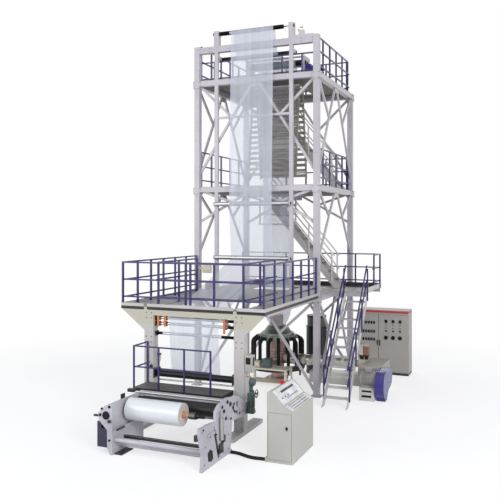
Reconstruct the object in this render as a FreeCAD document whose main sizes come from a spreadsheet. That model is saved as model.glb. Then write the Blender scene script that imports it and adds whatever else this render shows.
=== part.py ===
"""Blown film extrusion line: tower, film bubble, haul-off, front frame, winder, extruder and cabinets.

Lengths are millimetres. The origin lies on the floor under the centre of the die. X runs along the
rollers, with the extruder on +X, Y runs from the winder at the front (-Y) to the back, and Z is up.
Every size is a cell of the sheet, and each piece reads its sizes and its place from those cells.
"""

import FreeCAD
import Part
import Sketcher
import math
import os
import re

SIZES = {
    # Tower steel
    "tower_half_x": 1820,
    "tower_half_y": 1815,
    "column_side": 160,
    "foot_side": 300,
    "foot_thick": 20,
    "collar_side": 210,
    "collar_drop": 60,
    "beam_deep": 150,
    "floor_low": 2760,
    "floor_mid": 5800,
    "floor_top": 8900,
    "portal_rise": 1000,
    "portal_cap": 30,
    "portal_beam_deep": 180,
    "deck_thick": 8,
    "inner_post_left": 1190,
    "inner_post_right": 1100,
    "inner_post_side": 110,
    "inner_post_thick": 70,
    "post_tie_z": 7755,
    "post_tie_deep": 60,
    "roller_post_side": 150,
    "roller_post_rise": 430,
    "brace_wide": 70,
    "brace_thick": 50,
    "brace_set_back": 2,
    "brace_apex": 60,
    "brace_rise_low": 30,
    "brace_rise_mid": 940,
    "brace_rise_front": 1990,
    "brace_rise_top": 300,
    "strut_share": 0.38,
    "weld_gap": 0.5,
    # Platforms
    "edge_reach": 10,
    "front_left": 1820,
    "front_right": 1880,
    "joist_deep": 120,
    "joist_wide": 70,
    "joist_inset": 20,
    "toe_above": 70,
    "toe_below": 70,
    "toe_thick": 8,
    "toe_gap_left": 1150,
    "toe_gap_right": 1160,
    "toe_gap_wide": 90,
    "walkway_right": 2930,
    "walkway_front": 480,
    "walkway_back": 1300,
    "gate_left": 926,
    "gate_right": 1238,
    "gate_margin": 275,
    "gate_long": 2000,
    "bubble_gate": 620,
    "bubble_gate_back": 500,
    "nip_gate_half_x": 850,
    "nip_gate_half_y": 420,
    "stair_gate_room": 40,
    "head_room": 1900,
    # Guard rails
    "rail_high": 1050,
    "rail_mid": 640,
    "rail_low": 230,
    "rail_side": 36,
    "rail_post": 44,
    "rail_inset": 58,
    "rail_end": 60,
    "walkway_run": 900,
    # Stairs
    "stair_slope": 1.19,
    "tread_deep": 210,
    "tread_thick": 30,
    "stringer_deep": 190,
    "stringer_thick": 12,
    "stringer_reach": 900,
    "handrail_high": 860,
    "handrail_mid": 430,
    "stair_out_left": 2280,
    "stair_out_right": 2930,
    "stair_in_front": 625,
    "stair_in_back": 1205,
    "stair_in_foot": 1730,
    # Front frame and catwalk
    "frame_left": 1180,
    "frame_right": 1380,
    "frame_column_x": 245,
    "frame_column_y": 210,
    "frame_front": 5830,
    "frame_beam_deep": 190,
    "frame_beam_wide": 88,
    "bracket_deep": 550,
    "bracket_tip": 70,
    "skid_high": 90,
    "skid_front": 560,
    "skid_reach": 1130,
    "switch_box_wide": 185,
    "switch_box_deep": 150,
    "switch_box_low": 1410,
    "switch_box_high": 1790,
    "nip_drive_wide": 110,
    "nip_drive_low": 790,
    "nip_drive_high": 1300,
    "box_inset": 30,
    "catwalk_left": 1100,
    "catwalk_right": 1130,
    "catwalk_reach": 624,
    "catwalk_top": 993,
    "catwalk_deep": 110,
    "catwalk_sheet": 12,
    "catwalk_open": 260,
    "catwalk_rail": 956,
    "catwalk_rail_mid": 480,
    "catwalk_post": 34,
    "catwalk_bar": 30,
    # Rollers of the web path
    "journal": 16,
    "journal_clear": 0.3,
    "flat_reach": 1.0824,
    "roller_gap": 6,
    "bearing_thick": 40,
    "bearing_side": 110,
    "nip_bearing_side": 170,
    "idler_radius": 34,
    "idler_behind": 130,
    "idler_drop_high": 260,
    "idler_drop_middle": 398,
    "idler_drop_lower": 625,
    "band_radius": 62,
    "band_long": 55,
    "band_left": 840,
    "band_inner": 665,
    "band_right": 870,
    "nip_low_radius": 78,
    "nip_low_z": 1190,
    "guide_radius": 60,
    "guide_top_rise": 310,
    "guide_second_rise": 660,
    "guide_second_y": 1500,
    "guide_left": 1080,
    "guide_right": 870,
    "guide_mid_drop": 510,
    "guide_low_rise": 1000,
    "guide_front_gap": 40,
    "guide_top_forward": 55,
    "arm_thick": 40,
    "bracket_high": 60,
    "top_motor_left": 1320,
    "top_motor_long": 150,
    "top_motor_high": 130,
    "top_motor_deep": 90,
    # Film
    "film_thick": 4,
    "film_clear": 0.5,
    "bubble_radius": 450,
    "bubble_neck": 250,
    "bubble_base": 1600.5,
    "bubble_full": 2400,
    "frost_rise": 200,
    "bubble_top_gap": 160,
    "bubble_flat_half": 640,
    "bubble_flat_thin": 26,
    "web_left": 700,
    "web_right": 590,
    "web_low_left": 560,
    "web_low_right": 710,
    "web_lead": 30,
    # Haul-off at the top of the tower
    "nip_radius": 95,
    "nip_rise": 700,
    "nip_half_long": 800,
    "nip_apart": 6,
    "haul_plate_x": 900,
    "haul_plate_thick": 30,
    "haul_half_y": 330,
    "haul_high": 900,
    "haul_bar": 30,
    "haul_bar_rise": 60,
    "haul_drive_wide": 170,
    "haul_drive_half": 120,
    "haul_drive_drop": 330,
    "haul_drive_high": 270,
    "haul_motor_radius": 85,
    "haul_motor_long": 310,
    "slat_deep": 44,
    "slat_thick": 20,
    "slat_half_long": 780,
    "slat_bottom_rise": 350,
    "slat_bottom_y": 510,
    "slat_top_rise": 29.3,
    "slat_top_y": 150,
    "slat_rail_wide": 60,
    "slat_rail_thick": 40,
    # Cage
    "cage_drop": 1100,
    "cage_radius": 550,
    "cage_bar": 36,
    "cage_pitch": 300,
    "cage_beam": 50,
    "cage_beam_drop": 70,
    # Die and air ring
    "die_radius": 220,
    "die_low": 460,
    "die_high": 940,
    "die_foot_high": 45,
    "die_flange_radius": 270,
    "die_flange_high": 1179.5,
    "pedestal_radius": 200,
    "pedestal_plate": 620,
    "pedestal_thick": 25,
    "air_ring_radius": 560,
    "air_lid_radius": 500,
    "air_ring_low": 1180,
    "air_lid_low": 1330,
    "air_ring_high": 1400,
    "air_cone_high": 1600,
    "air_cone_low_radius": 440,
    "air_cone_radius": 300,
    "air_bore": 245,
    "stack_radius": 170,
    "stack_top": 1930,
    "hose_radius": 55,
    "hose_out": 770,
    "manifold_z": 380,
    "manifold_tube": 70,
    "manifold_leg": 50,
    "duct_x": 700,
    "duct_radius": 60,
    # Service table beside the die
    "table_left": 410,
    "table_right": 790,
    "table_front": 1430,
    "table_back": 900,
    "table_top": 550,
    "table_thick": 40,
    "table_leg": 60,
    "table_shelf": 160,
    "shelf_thick": 20,
    # Blower
    "blower_x": 900,
    "blower_y": 1150,
    "blower_radius": 330,
    "blower_high": 1830,
    "blower_band": 1480,
    "blower_step": 30,
    # Extruder
    "barrel_z": 620,
    "barrel_radius": 110,
    "barrel_guard_radius": 150,
    "barrel_guard_start": 200,
    "barrel_end": 2420,
    "throat_left": 2560,
    "throat_right": 2860,
    "throat_half_y": 140,
    "throat_high": 760,
    "gearbox_right": 3400,
    "gearbox_front": 1250,
    "gearbox_back": 300,
    "gearbox_high": 770,
    "bed_left": 1100,
    "bed_half_y": 230,
    "bed_high": 330,
    "hopper_neck_high": 880,
    "hopper_high": 1150,
    "hopper_wide": 120,
    "hopper_side": 240,
    "hopper_inset": 20,
    "hopper_neck": 70,
    "motor_left": 2990,
    "motor_right": 3400,
    "motor_y": 1560,
    "motor_z": 550,
    "motor_radius": 195,
    "motor_base_high": 350,
    "motor_base_half": 240,
    "motor_foot_half": 140,
    "drive_shaft": 30,
    "guard_left": 3430,
    "guard_wide": 240,
    "guard_low_radius": 360,
    "guard_high_radius": 250,
    "guard_high_z": 520,
    "guard_high_y": 1000,
    "guard_low_z": 420,
    "guard_foot_half": 120,
    # Winder
    "winder_left_out": 916,
    "winder_left_in": 576,
    "winder_left_front": 8050,
    "winder_left_back": 6850,
    "winder_face": 20,
    "leg_out": 697,
    "leg_toe": 624,
    "leg_toe_high": 140,
    "leg_high": 500,
    "case_low": 687,
    "case_inset": 20,
    "case_side_high": 829,
    "case_bevel": 769,
    "case_bevel_high": 987,
    "case_high": 1047,
    "winder_right_in": 1500,
    "winder_plate": 60,
    "plate_toe": 8240,
    "plate_neck": 8190,
    "neck_high": 320,
    "nose_y": 8330,
    "nose_low": 730,
    "nose_high": 850,
    "saddle_y": 7970,
    "step_y": 7630,
    "step_low": 810,
    "step_high": 1000,
    "crown_front": 7480,
    "crown_low": 1100,
    "crown_y": 7120,
    "crown_high": 1160,
    "shoulder_y": 6580,
    "shoulder_high": 1080,
    "tail_y": 5990,
    "tail_high": 780,
    "tail_low": 590,
    "belly_y": 6290,
    "belly_high": 570,
    "heel_top_y": 6850,
    "heel_high": 630,
    "heel_y": 6960,
    "housing_thick": 60,
    "housing_side": 170,
    "winder_beam_y": 6840,
    "winder_beam_side": 90,
    "winder_beam_z": 970,
    "tie_radius": 45,
    "tie_front_y": 7950,
    "tie_z": 300,
    "tie_low_y": 7760,
    "tie_low_z": 160,
    "tie_bar_y": 7600,
    "tie_bar_side": 60,
    "drum_radius": 150,
    "drum_y": 7010,
    "drum_z": 830,
    "roll_radius": 235,
    "roll_left": 560,
    "roll_right": 710,
    "roll_y": 7402,
    "roll_z": 800,
    "core_radius": 55,
    "core_left": 8,
    "core_right": 150,
    "chuck_radius": 75,
    "chuck_long": 140,
    "shaft_radius": 24,
    "cover_left": 1020,
    "cover_front": 7930,
    "cover_back": 7300,
    "cover_low": 100,
    "cover_high": 620,
    "cover_step": 490,
    # Console and its cable
    "console_left": 2455,
    "console_right": 2990,
    "console_front": 7180,
    "console_back": 5860,
    "console_high": 1370,
    "console_peak": 1400,
    "console_peak_x": 2540,
    "console_step": 1120,
    "console_step_x": 2800,
    "console_low": 1030,
    "cable_radius": 35,
    "cable_lift": 36,
    "gland_long": 40,
    "gland_side": 90,
    # Control cabinets
    "cabinet_left": 2105,
    "cabinet_split": 2770,
    "cabinet_right": 3700,
    "cabinet_front": 1700,
    "cabinet_deep": 600,
    "cabinet_high": 2020,
    "cabinet_wall": 20,
    "cabinet_plinth": 100,
    "cabinet_header": 140,
    "cabinet_gap": 6,
    "door_thick": 22,
    "door_gap": 8,
    "pivot_radius": 4,
    "pivot_deep": 30,
    "pivot_end": 5,
    "pivot_root": 10,
    "pivot_tail": 9,
}

# Lengths that follow from others, each written once.
FOLLOWS = {
    "portal_top": "floor_top + portal_rise",
    "portal_under": "portal_top - portal_cap - portal_beam_deep",
    "front_edge": "frame_front + edge_reach",
    "gate_front": "frame_front - gate_margin",
    "gate_back": "gate_front - gate_long",
    "catwalk_front": "frame_front + catwalk_reach",
    "idler_y": "frame_front - idler_behind",
    "idler_high": "floor_low - idler_drop_high",
    "idler_middle": "floor_low - idler_drop_middle",
    "idler_lower": "floor_low - idler_drop_lower",
    "guide_top_z": "portal_top + guide_top_rise",
    "guide_second_z": "floor_top + guide_second_rise",
    "guide_mid_z": "floor_mid - guide_mid_drop",
    "guide_low_z": "floor_low + guide_low_rise",
    "nip_z": "floor_top + nip_rise",
    "haul_bar_z": "floor_top + haul_bar_rise",
    "slat_bottom_z": "floor_mid + slat_bottom_rise",
    "slat_top_z": "floor_top + slat_top_rise",
    "bubble_frost": "floor_mid + frost_rise",
    "bubble_top": "nip_z - bubble_top_gap",
    "cage_z": "floor_mid - cage_drop",
    "head_run": "head_room / stair_slope",
    "stair_mid_top": "stair_in_foot - (floor_mid - floor_low) / stair_slope",
    "stair_high_top": "stair_in_foot - (floor_top - floor_mid) / stair_slope",
}

PLAIN_WORDS = "sin|cos|tan|atan2|sqrt|hypot|min|max|abs"

doc = FreeCAD.newDocument("blown_film_line")
sheet = doc.addObject("Spreadsheet::Sheet", "Sizes")
for row, (alias, number) in enumerate(SIZES.items(), start=1):
    sheet.set(f"A{row}", alias)
    sheet.set(f"B{row}", str(number))
    sheet.setAlias(f"B{row}", alias)
doc.recompute()

nodes = []


def bound(text):
    """Write out the lengths that follow from others, and point every size at its cell of the sheet."""
    text = str(text)
    pattern = rf"\b({'|'.join(FOLLOWS)})\b"
    while re.search(pattern, text):
        text = re.sub(pattern, lambda found: f"({FOLLOWS[found.group(0)]})", text)
    return re.sub(rf"\b(?!(?:{PLAIN_WORDS})\b)[a-z][a-z_]*\b", r"Sizes.\g<0>", text)


def value(text):
    """The number that an expression has with the sheet's present sizes."""
    return float(sheet.evalExpression(bound(text)))


def place(piece, x, y, z):
    """Bind where a piece stands."""
    piece.setExpression("Placement.Base.x", bound(x))
    piece.setExpression("Placement.Base.y", bound(y))
    piece.setExpression("Placement.Base.z", bound(z))
    return piece


def block(x_span, y_span, z_span):
    """A straight-sided block between two values on each axis."""
    piece = doc.addObject("Part::Box", "block")
    for side, (low, high) in zip(("Length", "Width", "Height"), (x_span, y_span, z_span)):
        piece.setExpression(side, bound(f"({high}) - ({low})"))
    return place(piece, x_span[0], y_span[0], z_span[0])


def along(axis, piece, span, across, up):
    """Turn a piece that stands on its base to lie along an axis, between two values on its centre line."""
    piece.setExpression("Height", bound(f"({span[1]}) - ({span[0]})"))
    if axis == "x":
        piece.Placement = FreeCAD.Placement(FreeCAD.Vector(), FreeCAD.Rotation(FreeCAD.Vector(0, 1, 0), 90))
        return place(piece, span[0], across, up)
    if axis == "y":
        piece.Placement = FreeCAD.Placement(FreeCAD.Vector(), FreeCAD.Rotation(FreeCAD.Vector(1, 0, 0), -90))
        return place(piece, across, span[0], up)
    return place(piece, across, up, span[0])


def rod(axis, radius, span, across, up):
    """A cylinder along an axis between two values; across and up place its centre line."""
    piece = doc.addObject("Part::Cylinder", "rod")
    piece.setExpression("Radius", bound(radius))
    return along(axis, piece, span, across, up)


def flat_rod(axis, radius, span, across, up, sides=8):
    """A rod with flats, which keeps the many small spindles and bores light; radius reaches its corners."""
    piece = doc.addObject("Part::Prism", "flat_rod")
    piece.Polygon = sides
    piece.setExpression("Circumradius", bound(radius))
    return along(axis, piece, span, across, up)


def bore(axis, radius, span, across, up):
    """The hole that a spindle turns in: its flats stand clear of the spindle's corners and face them."""
    hole = flat_rod(axis, f"({radius} + journal_clear) * flat_reach", span, across, up)
    half_flat = FreeCAD.Rotation(FreeCAD.Vector(0, 0, 1), 180 / hole.Polygon)
    hole.Placement = FreeCAD.Placement(hole.Placement.Base, hole.Placement.Rotation.multiply(half_flat))
    return hole


def strut(plane, start, end, across, wide):
    """A flat bar whose centre line joins two points (u, z) of an upright plane xz or yz."""
    rise = f"(({end[1]}) - ({start[1]}))"
    run = f"(({end[0]}) - ({start[0]}))"
    long = f"hypot({run}; {rise})"
    piece = doc.addObject("Part::Box", "strut")
    turn_axis = FreeCAD.Vector(0, -1, 0) if plane == "xz" else FreeCAD.Vector(1, 0, 0)
    piece.Placement = FreeCAD.Placement(FreeCAD.Vector(), FreeCAD.Rotation(turn_axis, 1))
    lengthways, thick = ("Length", "Width") if plane == "xz" else ("Width", "Length")
    piece.setExpression(lengthways, bound(long))
    piece.setExpression(thick, bound(f"({across[1]}) - ({across[0]})"))
    piece.setExpression("Height", bound(wide))
    piece.setExpression("Placement.Rotation.Angle", bound(f"atan2({rise}; {run})"))
    u = f"({start[0]}) + ({wide}) / 2 * {rise} / {long}"
    z = f"({start[1]}) - ({wide}) / 2 * {run} / {long}"
    if plane == "xz":
        return place(piece, u, across[0], z)
    return place(piece, across[0], u, z)


def funnel(x, y, z_span, low, high):
    """A four-sided funnel on an upright centre line; low and high are its half widths at the ends."""
    piece = doc.addObject("Part::Wedge", "funnel")
    for end, half in (("min", low), ("max", high)):
        first, second = ("X", "Z") if end == "min" else ("X2", "Z2")
        for letter, size in zip((first, second), half):
            piece.setExpression(f"{letter}min", bound(f"-({size})"))
            piece.setExpression(f"{letter}max", bound(size))
    piece.Ymin = 0
    piece.setExpression("Ymax", bound(f"({z_span[1]}) - ({z_span[0]})"))
    piece.Placement = FreeCAD.Placement(FreeCAD.Vector(), FreeCAD.Rotation(FreeCAD.Vector(1, 0, 0), 90))
    return place(piece, x, y, z_span[0])


def fuse(*pieces):
    """Weld pieces into one solid."""
    welded = doc.addObject("Part::MultiFuse", "weld")
    welded.Shapes = list(pieces)
    return welded


def cut(piece, *tools):
    """Take tools out of a piece."""
    result = doc.addObject("Part::Cut", "cut")
    result.Base = piece
    result.Tool = tools[0] if len(tools) == 1 else group(*tools)
    return result


def common(piece, envelope):
    """Keep what lies inside an envelope."""
    result = doc.addObject("Part::Common", "trim")
    result.Base = piece
    result.Tool = envelope
    return result


def group(*pieces):
    """Like pieces that stand apart, held as one shape."""
    held = doc.addObject("Part::Compound", "set")
    held.Links = list(pieces)
    return held


def turned(piece, angle):
    """A piece turned about the upright axis of the die."""
    held = group(piece)
    held.Placement = FreeCAD.Placement(FreeCAD.Vector(), FreeCAD.Rotation(FreeCAD.Vector(0, 0, 1), angle))
    return held


def node(label, *pieces):
    """Name a sub-part: one piece, or like pieces on one body that don't touch."""
    piece = pieces[0] if len(pieces) == 1 else group(*pieces)
    piece.Label = label
    nodes.append(piece)
    return piece


ROUGH = 100


def plate(plane, corners, thick, at):
    """A plate upright in YZ or XZ: its corners are bound in a sketch, padded along +X or along -Y."""
    body = doc.addObject("PartDesign::Body", "plate")
    sketch = body.newObject("Sketcher::SketchObject", "outline")
    planes = {feature.Role: feature for feature in body.Origin.OriginFeatures}
    sketch.AttachmentSupport = [(planes[plane], "")]
    sketch.MapMode = "FlatFace"
    count = len(corners)
    rough = [FreeCAD.Vector(ROUGH * index, ROUGH * index * index, 0) for index in range(count)]
    for index in range(count):
        sketch.addGeometry(Part.LineSegment(rough[index], rough[(index + 1) % count]))
    for index in range(count):
        sketch.addConstraint(Sketcher.Constraint("Coincident", index, 2, (index + 1) % count, 1))
    for index, (across, up) in enumerate(corners):
        for kind, text, start in (("DistanceX", across, rough[index].x), ("DistanceY", up, rough[index].y)):
            made = sketch.addConstraint(Sketcher.Constraint(kind, -1, 1, index, 1, start))
            sketch.setExpression(f"Constraints[{made}]", bound(text))
    pad = body.newObject("PartDesign::Pad", "thickness")
    pad.Profile = sketch
    pad.setExpression("Length", bound(thick))
    return place(body, at, "0", "0") if plane == "YZ_Plane" else place(body, "0", at, "0")


# Tower columns: foot plates, joint boxes at each floor and square tubes between them.
def column(x, y, top):
    """One column from the ground up, each length a piece of its own with a weld gap to the next."""
    half = "column_side / 2"
    tube = ((f"{x} - {half}", f"{x} + {half}"), (f"{y} - {half}", f"{y} + {half}"))
    foot = "foot_side / 2"
    pieces = [block((f"{x} - {foot}", f"{x} + {foot}"), (f"{y} - {foot}", f"{y} + {foot}"),
                    ("0", "foot_thick"))]
    ring = "collar_side / 2"
    low = "foot_thick"
    for floor in ("floor_low", "floor_mid", "floor_top"):
        under = f"{floor} - deck_thick - beam_deep - collar_drop"
        pieces.append(block(*tube, (f"{low} + weld_gap", f"{under} - weld_gap")))
        pieces.append(block((f"{x} - {ring}", f"{x} + {ring}"), (f"{y} - {ring}", f"{y} + {ring}"),
                            (under, f"{floor} - deck_thick")))
        low = f"{floor} - deck_thick"
    if top != "floor_top":
        pieces.append(block(*tube, (f"{low} + weld_gap", top)))
    return group(*pieces)


front_left = column("-tower_half_x", "-tower_half_y", "portal_top")
front_right = column("tower_half_x", "-tower_half_y", "portal_top")
back_left = column("-tower_half_x", "tower_half_y", "floor_top")
back_right = column("tower_half_x", "tower_half_y", "floor_top")
columns = node("tower_columns", front_left, front_right, back_left, back_right)


# Floor beams run between the joint boxes of the columns, as wide as a column.
def beam_ring(floor):
    """Four beams under a floor, each ending on the faces of two joint boxes."""
    half = "column_side / 2"
    end = "collar_side / 2"
    z_span = (f"{floor} - deck_thick - beam_deep", f"{floor} - deck_thick")
    beams = []
    for side in ("-", ""):
        y = f"{side}tower_half_y"
        beams.append(block((f"-tower_half_x + {end}", f"tower_half_x - {end}"),
                           (f"{y} - {half}", f"{y} + {half}"), z_span))
        x = f"{side}tower_half_x"
        beams.append(block((f"{x} - {half}", f"{x} + {half}"),
                           (f"-tower_half_y + {end}", f"tower_half_y - {end}"), z_span))
    return beams


node("floor_beams", *beam_ring("floor_low"), *beam_ring("floor_mid"), *beam_ring("floor_top"))
portal_beam = block(
    ("-tower_half_x + column_side / 2", "tower_half_x - column_side / 2"),
    ("-tower_half_y - column_side / 2", "-tower_half_y + column_side / 2"),
    ("portal_under", "portal_top - portal_cap"),
)

# Inner posts of the front face, in the outer half of the columns' depth, and the short roller posts.
FRONT_FACE = "-tower_half_y - column_side / 2"
post_depth = (FRONT_FACE, f"{FRONT_FACE} + inner_post_thick")
post_pieces = []
roller_posts = []
for post_x in ("-inner_post_left", "inner_post_right"):
    across = (f"{post_x} - inner_post_side / 2", f"{post_x} + inner_post_side / 2")
    for low, high in (("floor_low - deck_thick", "floor_mid - deck_thick - beam_deep"),
                      ("floor_mid - deck_thick", "floor_top - deck_thick - beam_deep"),
                      ("floor_top - deck_thick", "portal_under")):
        post_pieces.append(block(across, post_depth, (low, high)))
    wide = (f"{post_x} - roller_post_side / 2", f"{post_x} + roller_post_side / 2")
    roller_posts.append(cut(
        block(wide, (FRONT_FACE, "-tower_half_y + column_side / 2"),
              ("portal_top - portal_cap + weld_gap", "portal_top - portal_cap + roller_post_rise")),
        bore("x", "journal", wide, "-tower_half_y - guide_top_forward", "guide_top_z"),
    ))
post_pieces.append(block(
    ("-inner_post_left + inner_post_side / 2 + weld_gap",
     "inner_post_right - inner_post_side / 2 - weld_gap"),
    post_depth, ("post_tie_z", "post_tie_z + post_tie_deep")))
node("inner_posts", *post_pieces)

# Beside the right roller post a bracket lies on the portal and carries the roller's small motor.
bracket_top = "portal_top - portal_cap + weld_gap + bracket_high"
bracket = block(
    ("inner_post_right + roller_post_side / 2 + weld_gap", "tower_half_x - column_side / 2 - weld_gap"),
    post_depth, ("portal_top - portal_cap + weld_gap", bracket_top))
top_motor = block(
    ("top_motor_left", "top_motor_left + top_motor_long"),
    (FRONT_FACE, f"{FRONT_FACE} + top_motor_deep"),
    (f"{bracket_top} + weld_gap", f"{bracket_top} + top_motor_high"))
node("portal", portal_beam, *roller_posts, bracket, top_motor)


# Face bracing: two legs from the middle of the upper beam to the columns, and a tie from each upper corner.
def bracing(plane, half, across, low, high, rise, corners):
    """The legs and ties of one bay, trimmed to the beams and to the column that each one meets."""
    top = f"{high} - deck_thick - beam_deep / 2"
    foot = f"{low} + {rise}"
    wide = (f"-{half}", half)
    bay_height = (f"{low}", f"{high} - deck_thick - beam_deep")
    pieces = []
    for sign, post in zip(("-1", "1"), corners):
        apex = (f"{sign} * brace_apex", top)
        base = (f"{sign} * {half}", foot)
        joint = (f"({apex[0]}) + (({base[0]}) - ({apex[0]})) * strut_share",
                 f"({top}) + (({foot}) - ({top})) * strut_share")
        for bar, tools in (
            (strut(plane, apex, base, across, "brace_wide"), (post,)),
            (strut(plane, (f"{sign} * {half}", top), joint, across, "brace_wide"),
             (post, strut(plane, apex, base, (f"{across[0]} - 1", f"{across[1]} + 1"),
                          "brace_wide + 2 * weld_gap"))),
        ):
            bay = block(wide, across, bay_height) if plane == "xz" else block(across, wide, bay_height)
            pieces.append(cut(common(bar, bay), *tools))
    return pieces


BAYS = (("0", "floor_low", "brace_rise_low", "brace_rise_low"),
        ("floor_low", "floor_mid", "brace_rise_mid", "brace_rise_front"),
        ("floor_mid", "floor_top", "brace_rise_top", "brace_rise_top"))
FACES = (("xz", "tower_half_x", "-tower_half_y", (front_left, front_right)),
         ("xz", "tower_half_x", "tower_half_y", (back_left, back_right)),
         ("yz", "tower_half_y", "-tower_half_x", (front_left, back_left)),
         ("yz", "tower_half_y", "tower_half_x", (front_right, back_right)))
bars = {"xz": [], "yz": []}
for plane, half, centre, corners in FACES:
    across = (f"{centre} + brace_set_back", f"{centre} + brace_set_back + brace_thick")
    if centre == "-tower_half_x":
        across = (f"{centre} - brace_set_back - brace_thick", f"{centre} - brace_set_back")
    for low, high, side_rise, front_rise in BAYS:
        rise = front_rise if plane == "xz" else side_rise
        bars[plane] += bracing(plane, half, across, low, high, rise, corners)
node("front_back_braces", *bars["xz"])
node("side_braces", *bars["yz"])


# Decks are laid in rectangular panels that leave the gates free, notched at the columns and posts.
def panel(x_span, y_span, floor, *notches):
    """One deck plate, half a weld gap inside its bay on every side."""
    edge = "weld_gap / 2"
    plate_piece = block((f"{x_span[0]} + {edge}", f"{x_span[1]} - {edge}"),
                        (f"{y_span[0]} + {edge}", f"{y_span[1]} - {edge}"),
                        (f"{floor} - deck_thick", floor))
    return cut(plate_piece, *notches) if notches else plate_piece


def post_holes(floor):
    """Tools that notch a deck at the inner posts."""
    through = (f"{floor} - beam_deep", f"{floor} + beam_deep")
    return [block((f"{x} - inner_post_side / 2", f"{x} + inner_post_side / 2"), post_depth, through)
            for x in ("-inner_post_left", "inner_post_right")]


TOWER_RIGHT = "tower_half_x + column_side / 2"
TOWER_LEFT = "-tower_half_x - column_side / 2"
TOWER_BACK = "tower_half_y + column_side / 2"
PLATFORM = ("-front_left + toe_thick", "front_right - toe_thick")
low_panels = [
    panel(PLATFORM, ("-front_edge + toe_thick", "-gate_front"), "floor_low"),
    panel((PLATFORM[0], "-gate_left"), ("-gate_front", "-gate_back"), "floor_low"),
    panel(("gate_right", PLATFORM[1]), ("-gate_front", "-gate_back"), "floor_low"),
    panel(PLATFORM, ("-gate_back", FRONT_FACE), "floor_low"),
    panel((TOWER_LEFT, TOWER_RIGHT), (FRONT_FACE, "-bubble_gate"), "floor_low", columns,
          *post_holes("floor_low")),
    panel((TOWER_LEFT, "-bubble_gate"), ("-bubble_gate", "bubble_gate_back"), "floor_low"),
    panel(("bubble_gate", TOWER_RIGHT), ("-bubble_gate", "bubble_gate_back"), "floor_low"),
    panel((TOWER_LEFT, TOWER_RIGHT), ("bubble_gate_back", "walkway_back"), "floor_low"),
    panel((TOWER_RIGHT, "walkway_right"), ("-walkway_front", "walkway_back"), "floor_low"),
]


def upper_panels(floor, gate_half_x, gate_half_y, gate_back, stair_top):
    """The panels of an upper deck round its bubble gate and its stair gate."""
    stair_front = "stair_in_front - stair_gate_room"
    stair_back = "stair_in_back + stair_gate_room"
    rows = [
        panel((TOWER_LEFT, TOWER_RIGHT), (FRONT_FACE, f"-{gate_half_y}"), floor, columns,
              *post_holes(floor)),
        panel((TOWER_LEFT, f"-{gate_half_x}"), (f"-{gate_half_y}", gate_back), floor),
        panel((gate_half_x, TOWER_RIGHT), (f"-{gate_half_y}", gate_back), floor),
        panel((TOWER_LEFT, TOWER_RIGHT), (gate_back, stair_front), floor),
        panel((TOWER_LEFT, stair_top), (stair_front, stair_back), floor),
        panel((f"{stair_top} + head_run", TOWER_RIGHT), (stair_front, stair_back), floor),
    ]
    back_row = (stair_back, TOWER_BACK)
    if floor == "floor_top":
        return rows + [panel((TOWER_LEFT, TOWER_RIGHT), back_row, floor)]
    return rows + [panel((TOWER_LEFT, TOWER_RIGHT), back_row, floor, columns)]


node(
    "decks",
    *low_panels,
    *upper_panels("floor_mid", "bubble_gate", "bubble_gate", "bubble_gate_back", "stair_mid_top"),
    *upper_panels("floor_top", "nip_gate_half_x", "nip_gate_half_y", "nip_gate_half_y", "stair_high_top"),
)

# Black edge channel round the lower platform, broken at the two brackets of the front frame.
TOE = ("floor_low - toe_below", "floor_low + toe_above")
KICK = ("floor_low", "floor_low + toe_above + toe_below")
front_toe = ("-front_edge", "-front_edge + toe_thick")
TOE_SIDE = ("-front_edge", "-tower_half_y - collar_side / 2 - weld_gap")
node(
    "toe_boards",
    block(("-front_left + toe_thick + weld_gap", "-toe_gap_left - toe_gap_wide / 2"), front_toe, TOE),
    block(("-toe_gap_left + toe_gap_wide / 2", "toe_gap_right - toe_gap_wide / 2"), front_toe, TOE),
    block(("toe_gap_right + toe_gap_wide / 2", "front_right - toe_thick - weld_gap"), front_toe, TOE),
    block(("-front_left", "-front_left + toe_thick"), TOE_SIDE, TOE),
    block(("front_right - toe_thick", "front_right"), TOE_SIDE, TOE),
    block(("-tower_half_x + column_side / 2", "walkway_right"), ("walkway_back - toe_thick", "walkway_back"),
          KICK),
    block(("walkway_right - toe_thick", "walkway_right"),
          ("-walkway_front", "walkway_back - toe_thick - weld_gap"), KICK),
)

# Joists under the platform's forward part and under the walkway.
JOIST = ("floor_low - deck_thick - joist_deep", "floor_low - deck_thick")
front_back = ("-frame_front + frame_column_y", FRONT_FACE)
outer_back = (front_back[0], "-tower_half_y - collar_side / 2")
walkway_x = (TOWER_RIGHT, "walkway_right - joist_inset")
node(
    "platform_joists",
    block(("-front_left + joist_inset", "-front_left + joist_inset + joist_wide"), outer_back, JOIST),
    block(("-gate_left - joist_inset - joist_wide", "-gate_left - joist_inset"), front_back, JOIST),
    block(("gate_right + joist_inset", "gate_right + joist_inset + joist_wide"), front_back, JOIST),
    block(("front_right - joist_inset - joist_wide", "front_right - joist_inset"), outer_back, JOIST),
    block(walkway_x, ("-walkway_front", "-walkway_front + joist_wide"), JOIST),
    block(walkway_x, ("walkway_back - joist_inset - joist_wide", "walkway_back - joist_inset"), JOIST),
)


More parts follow.
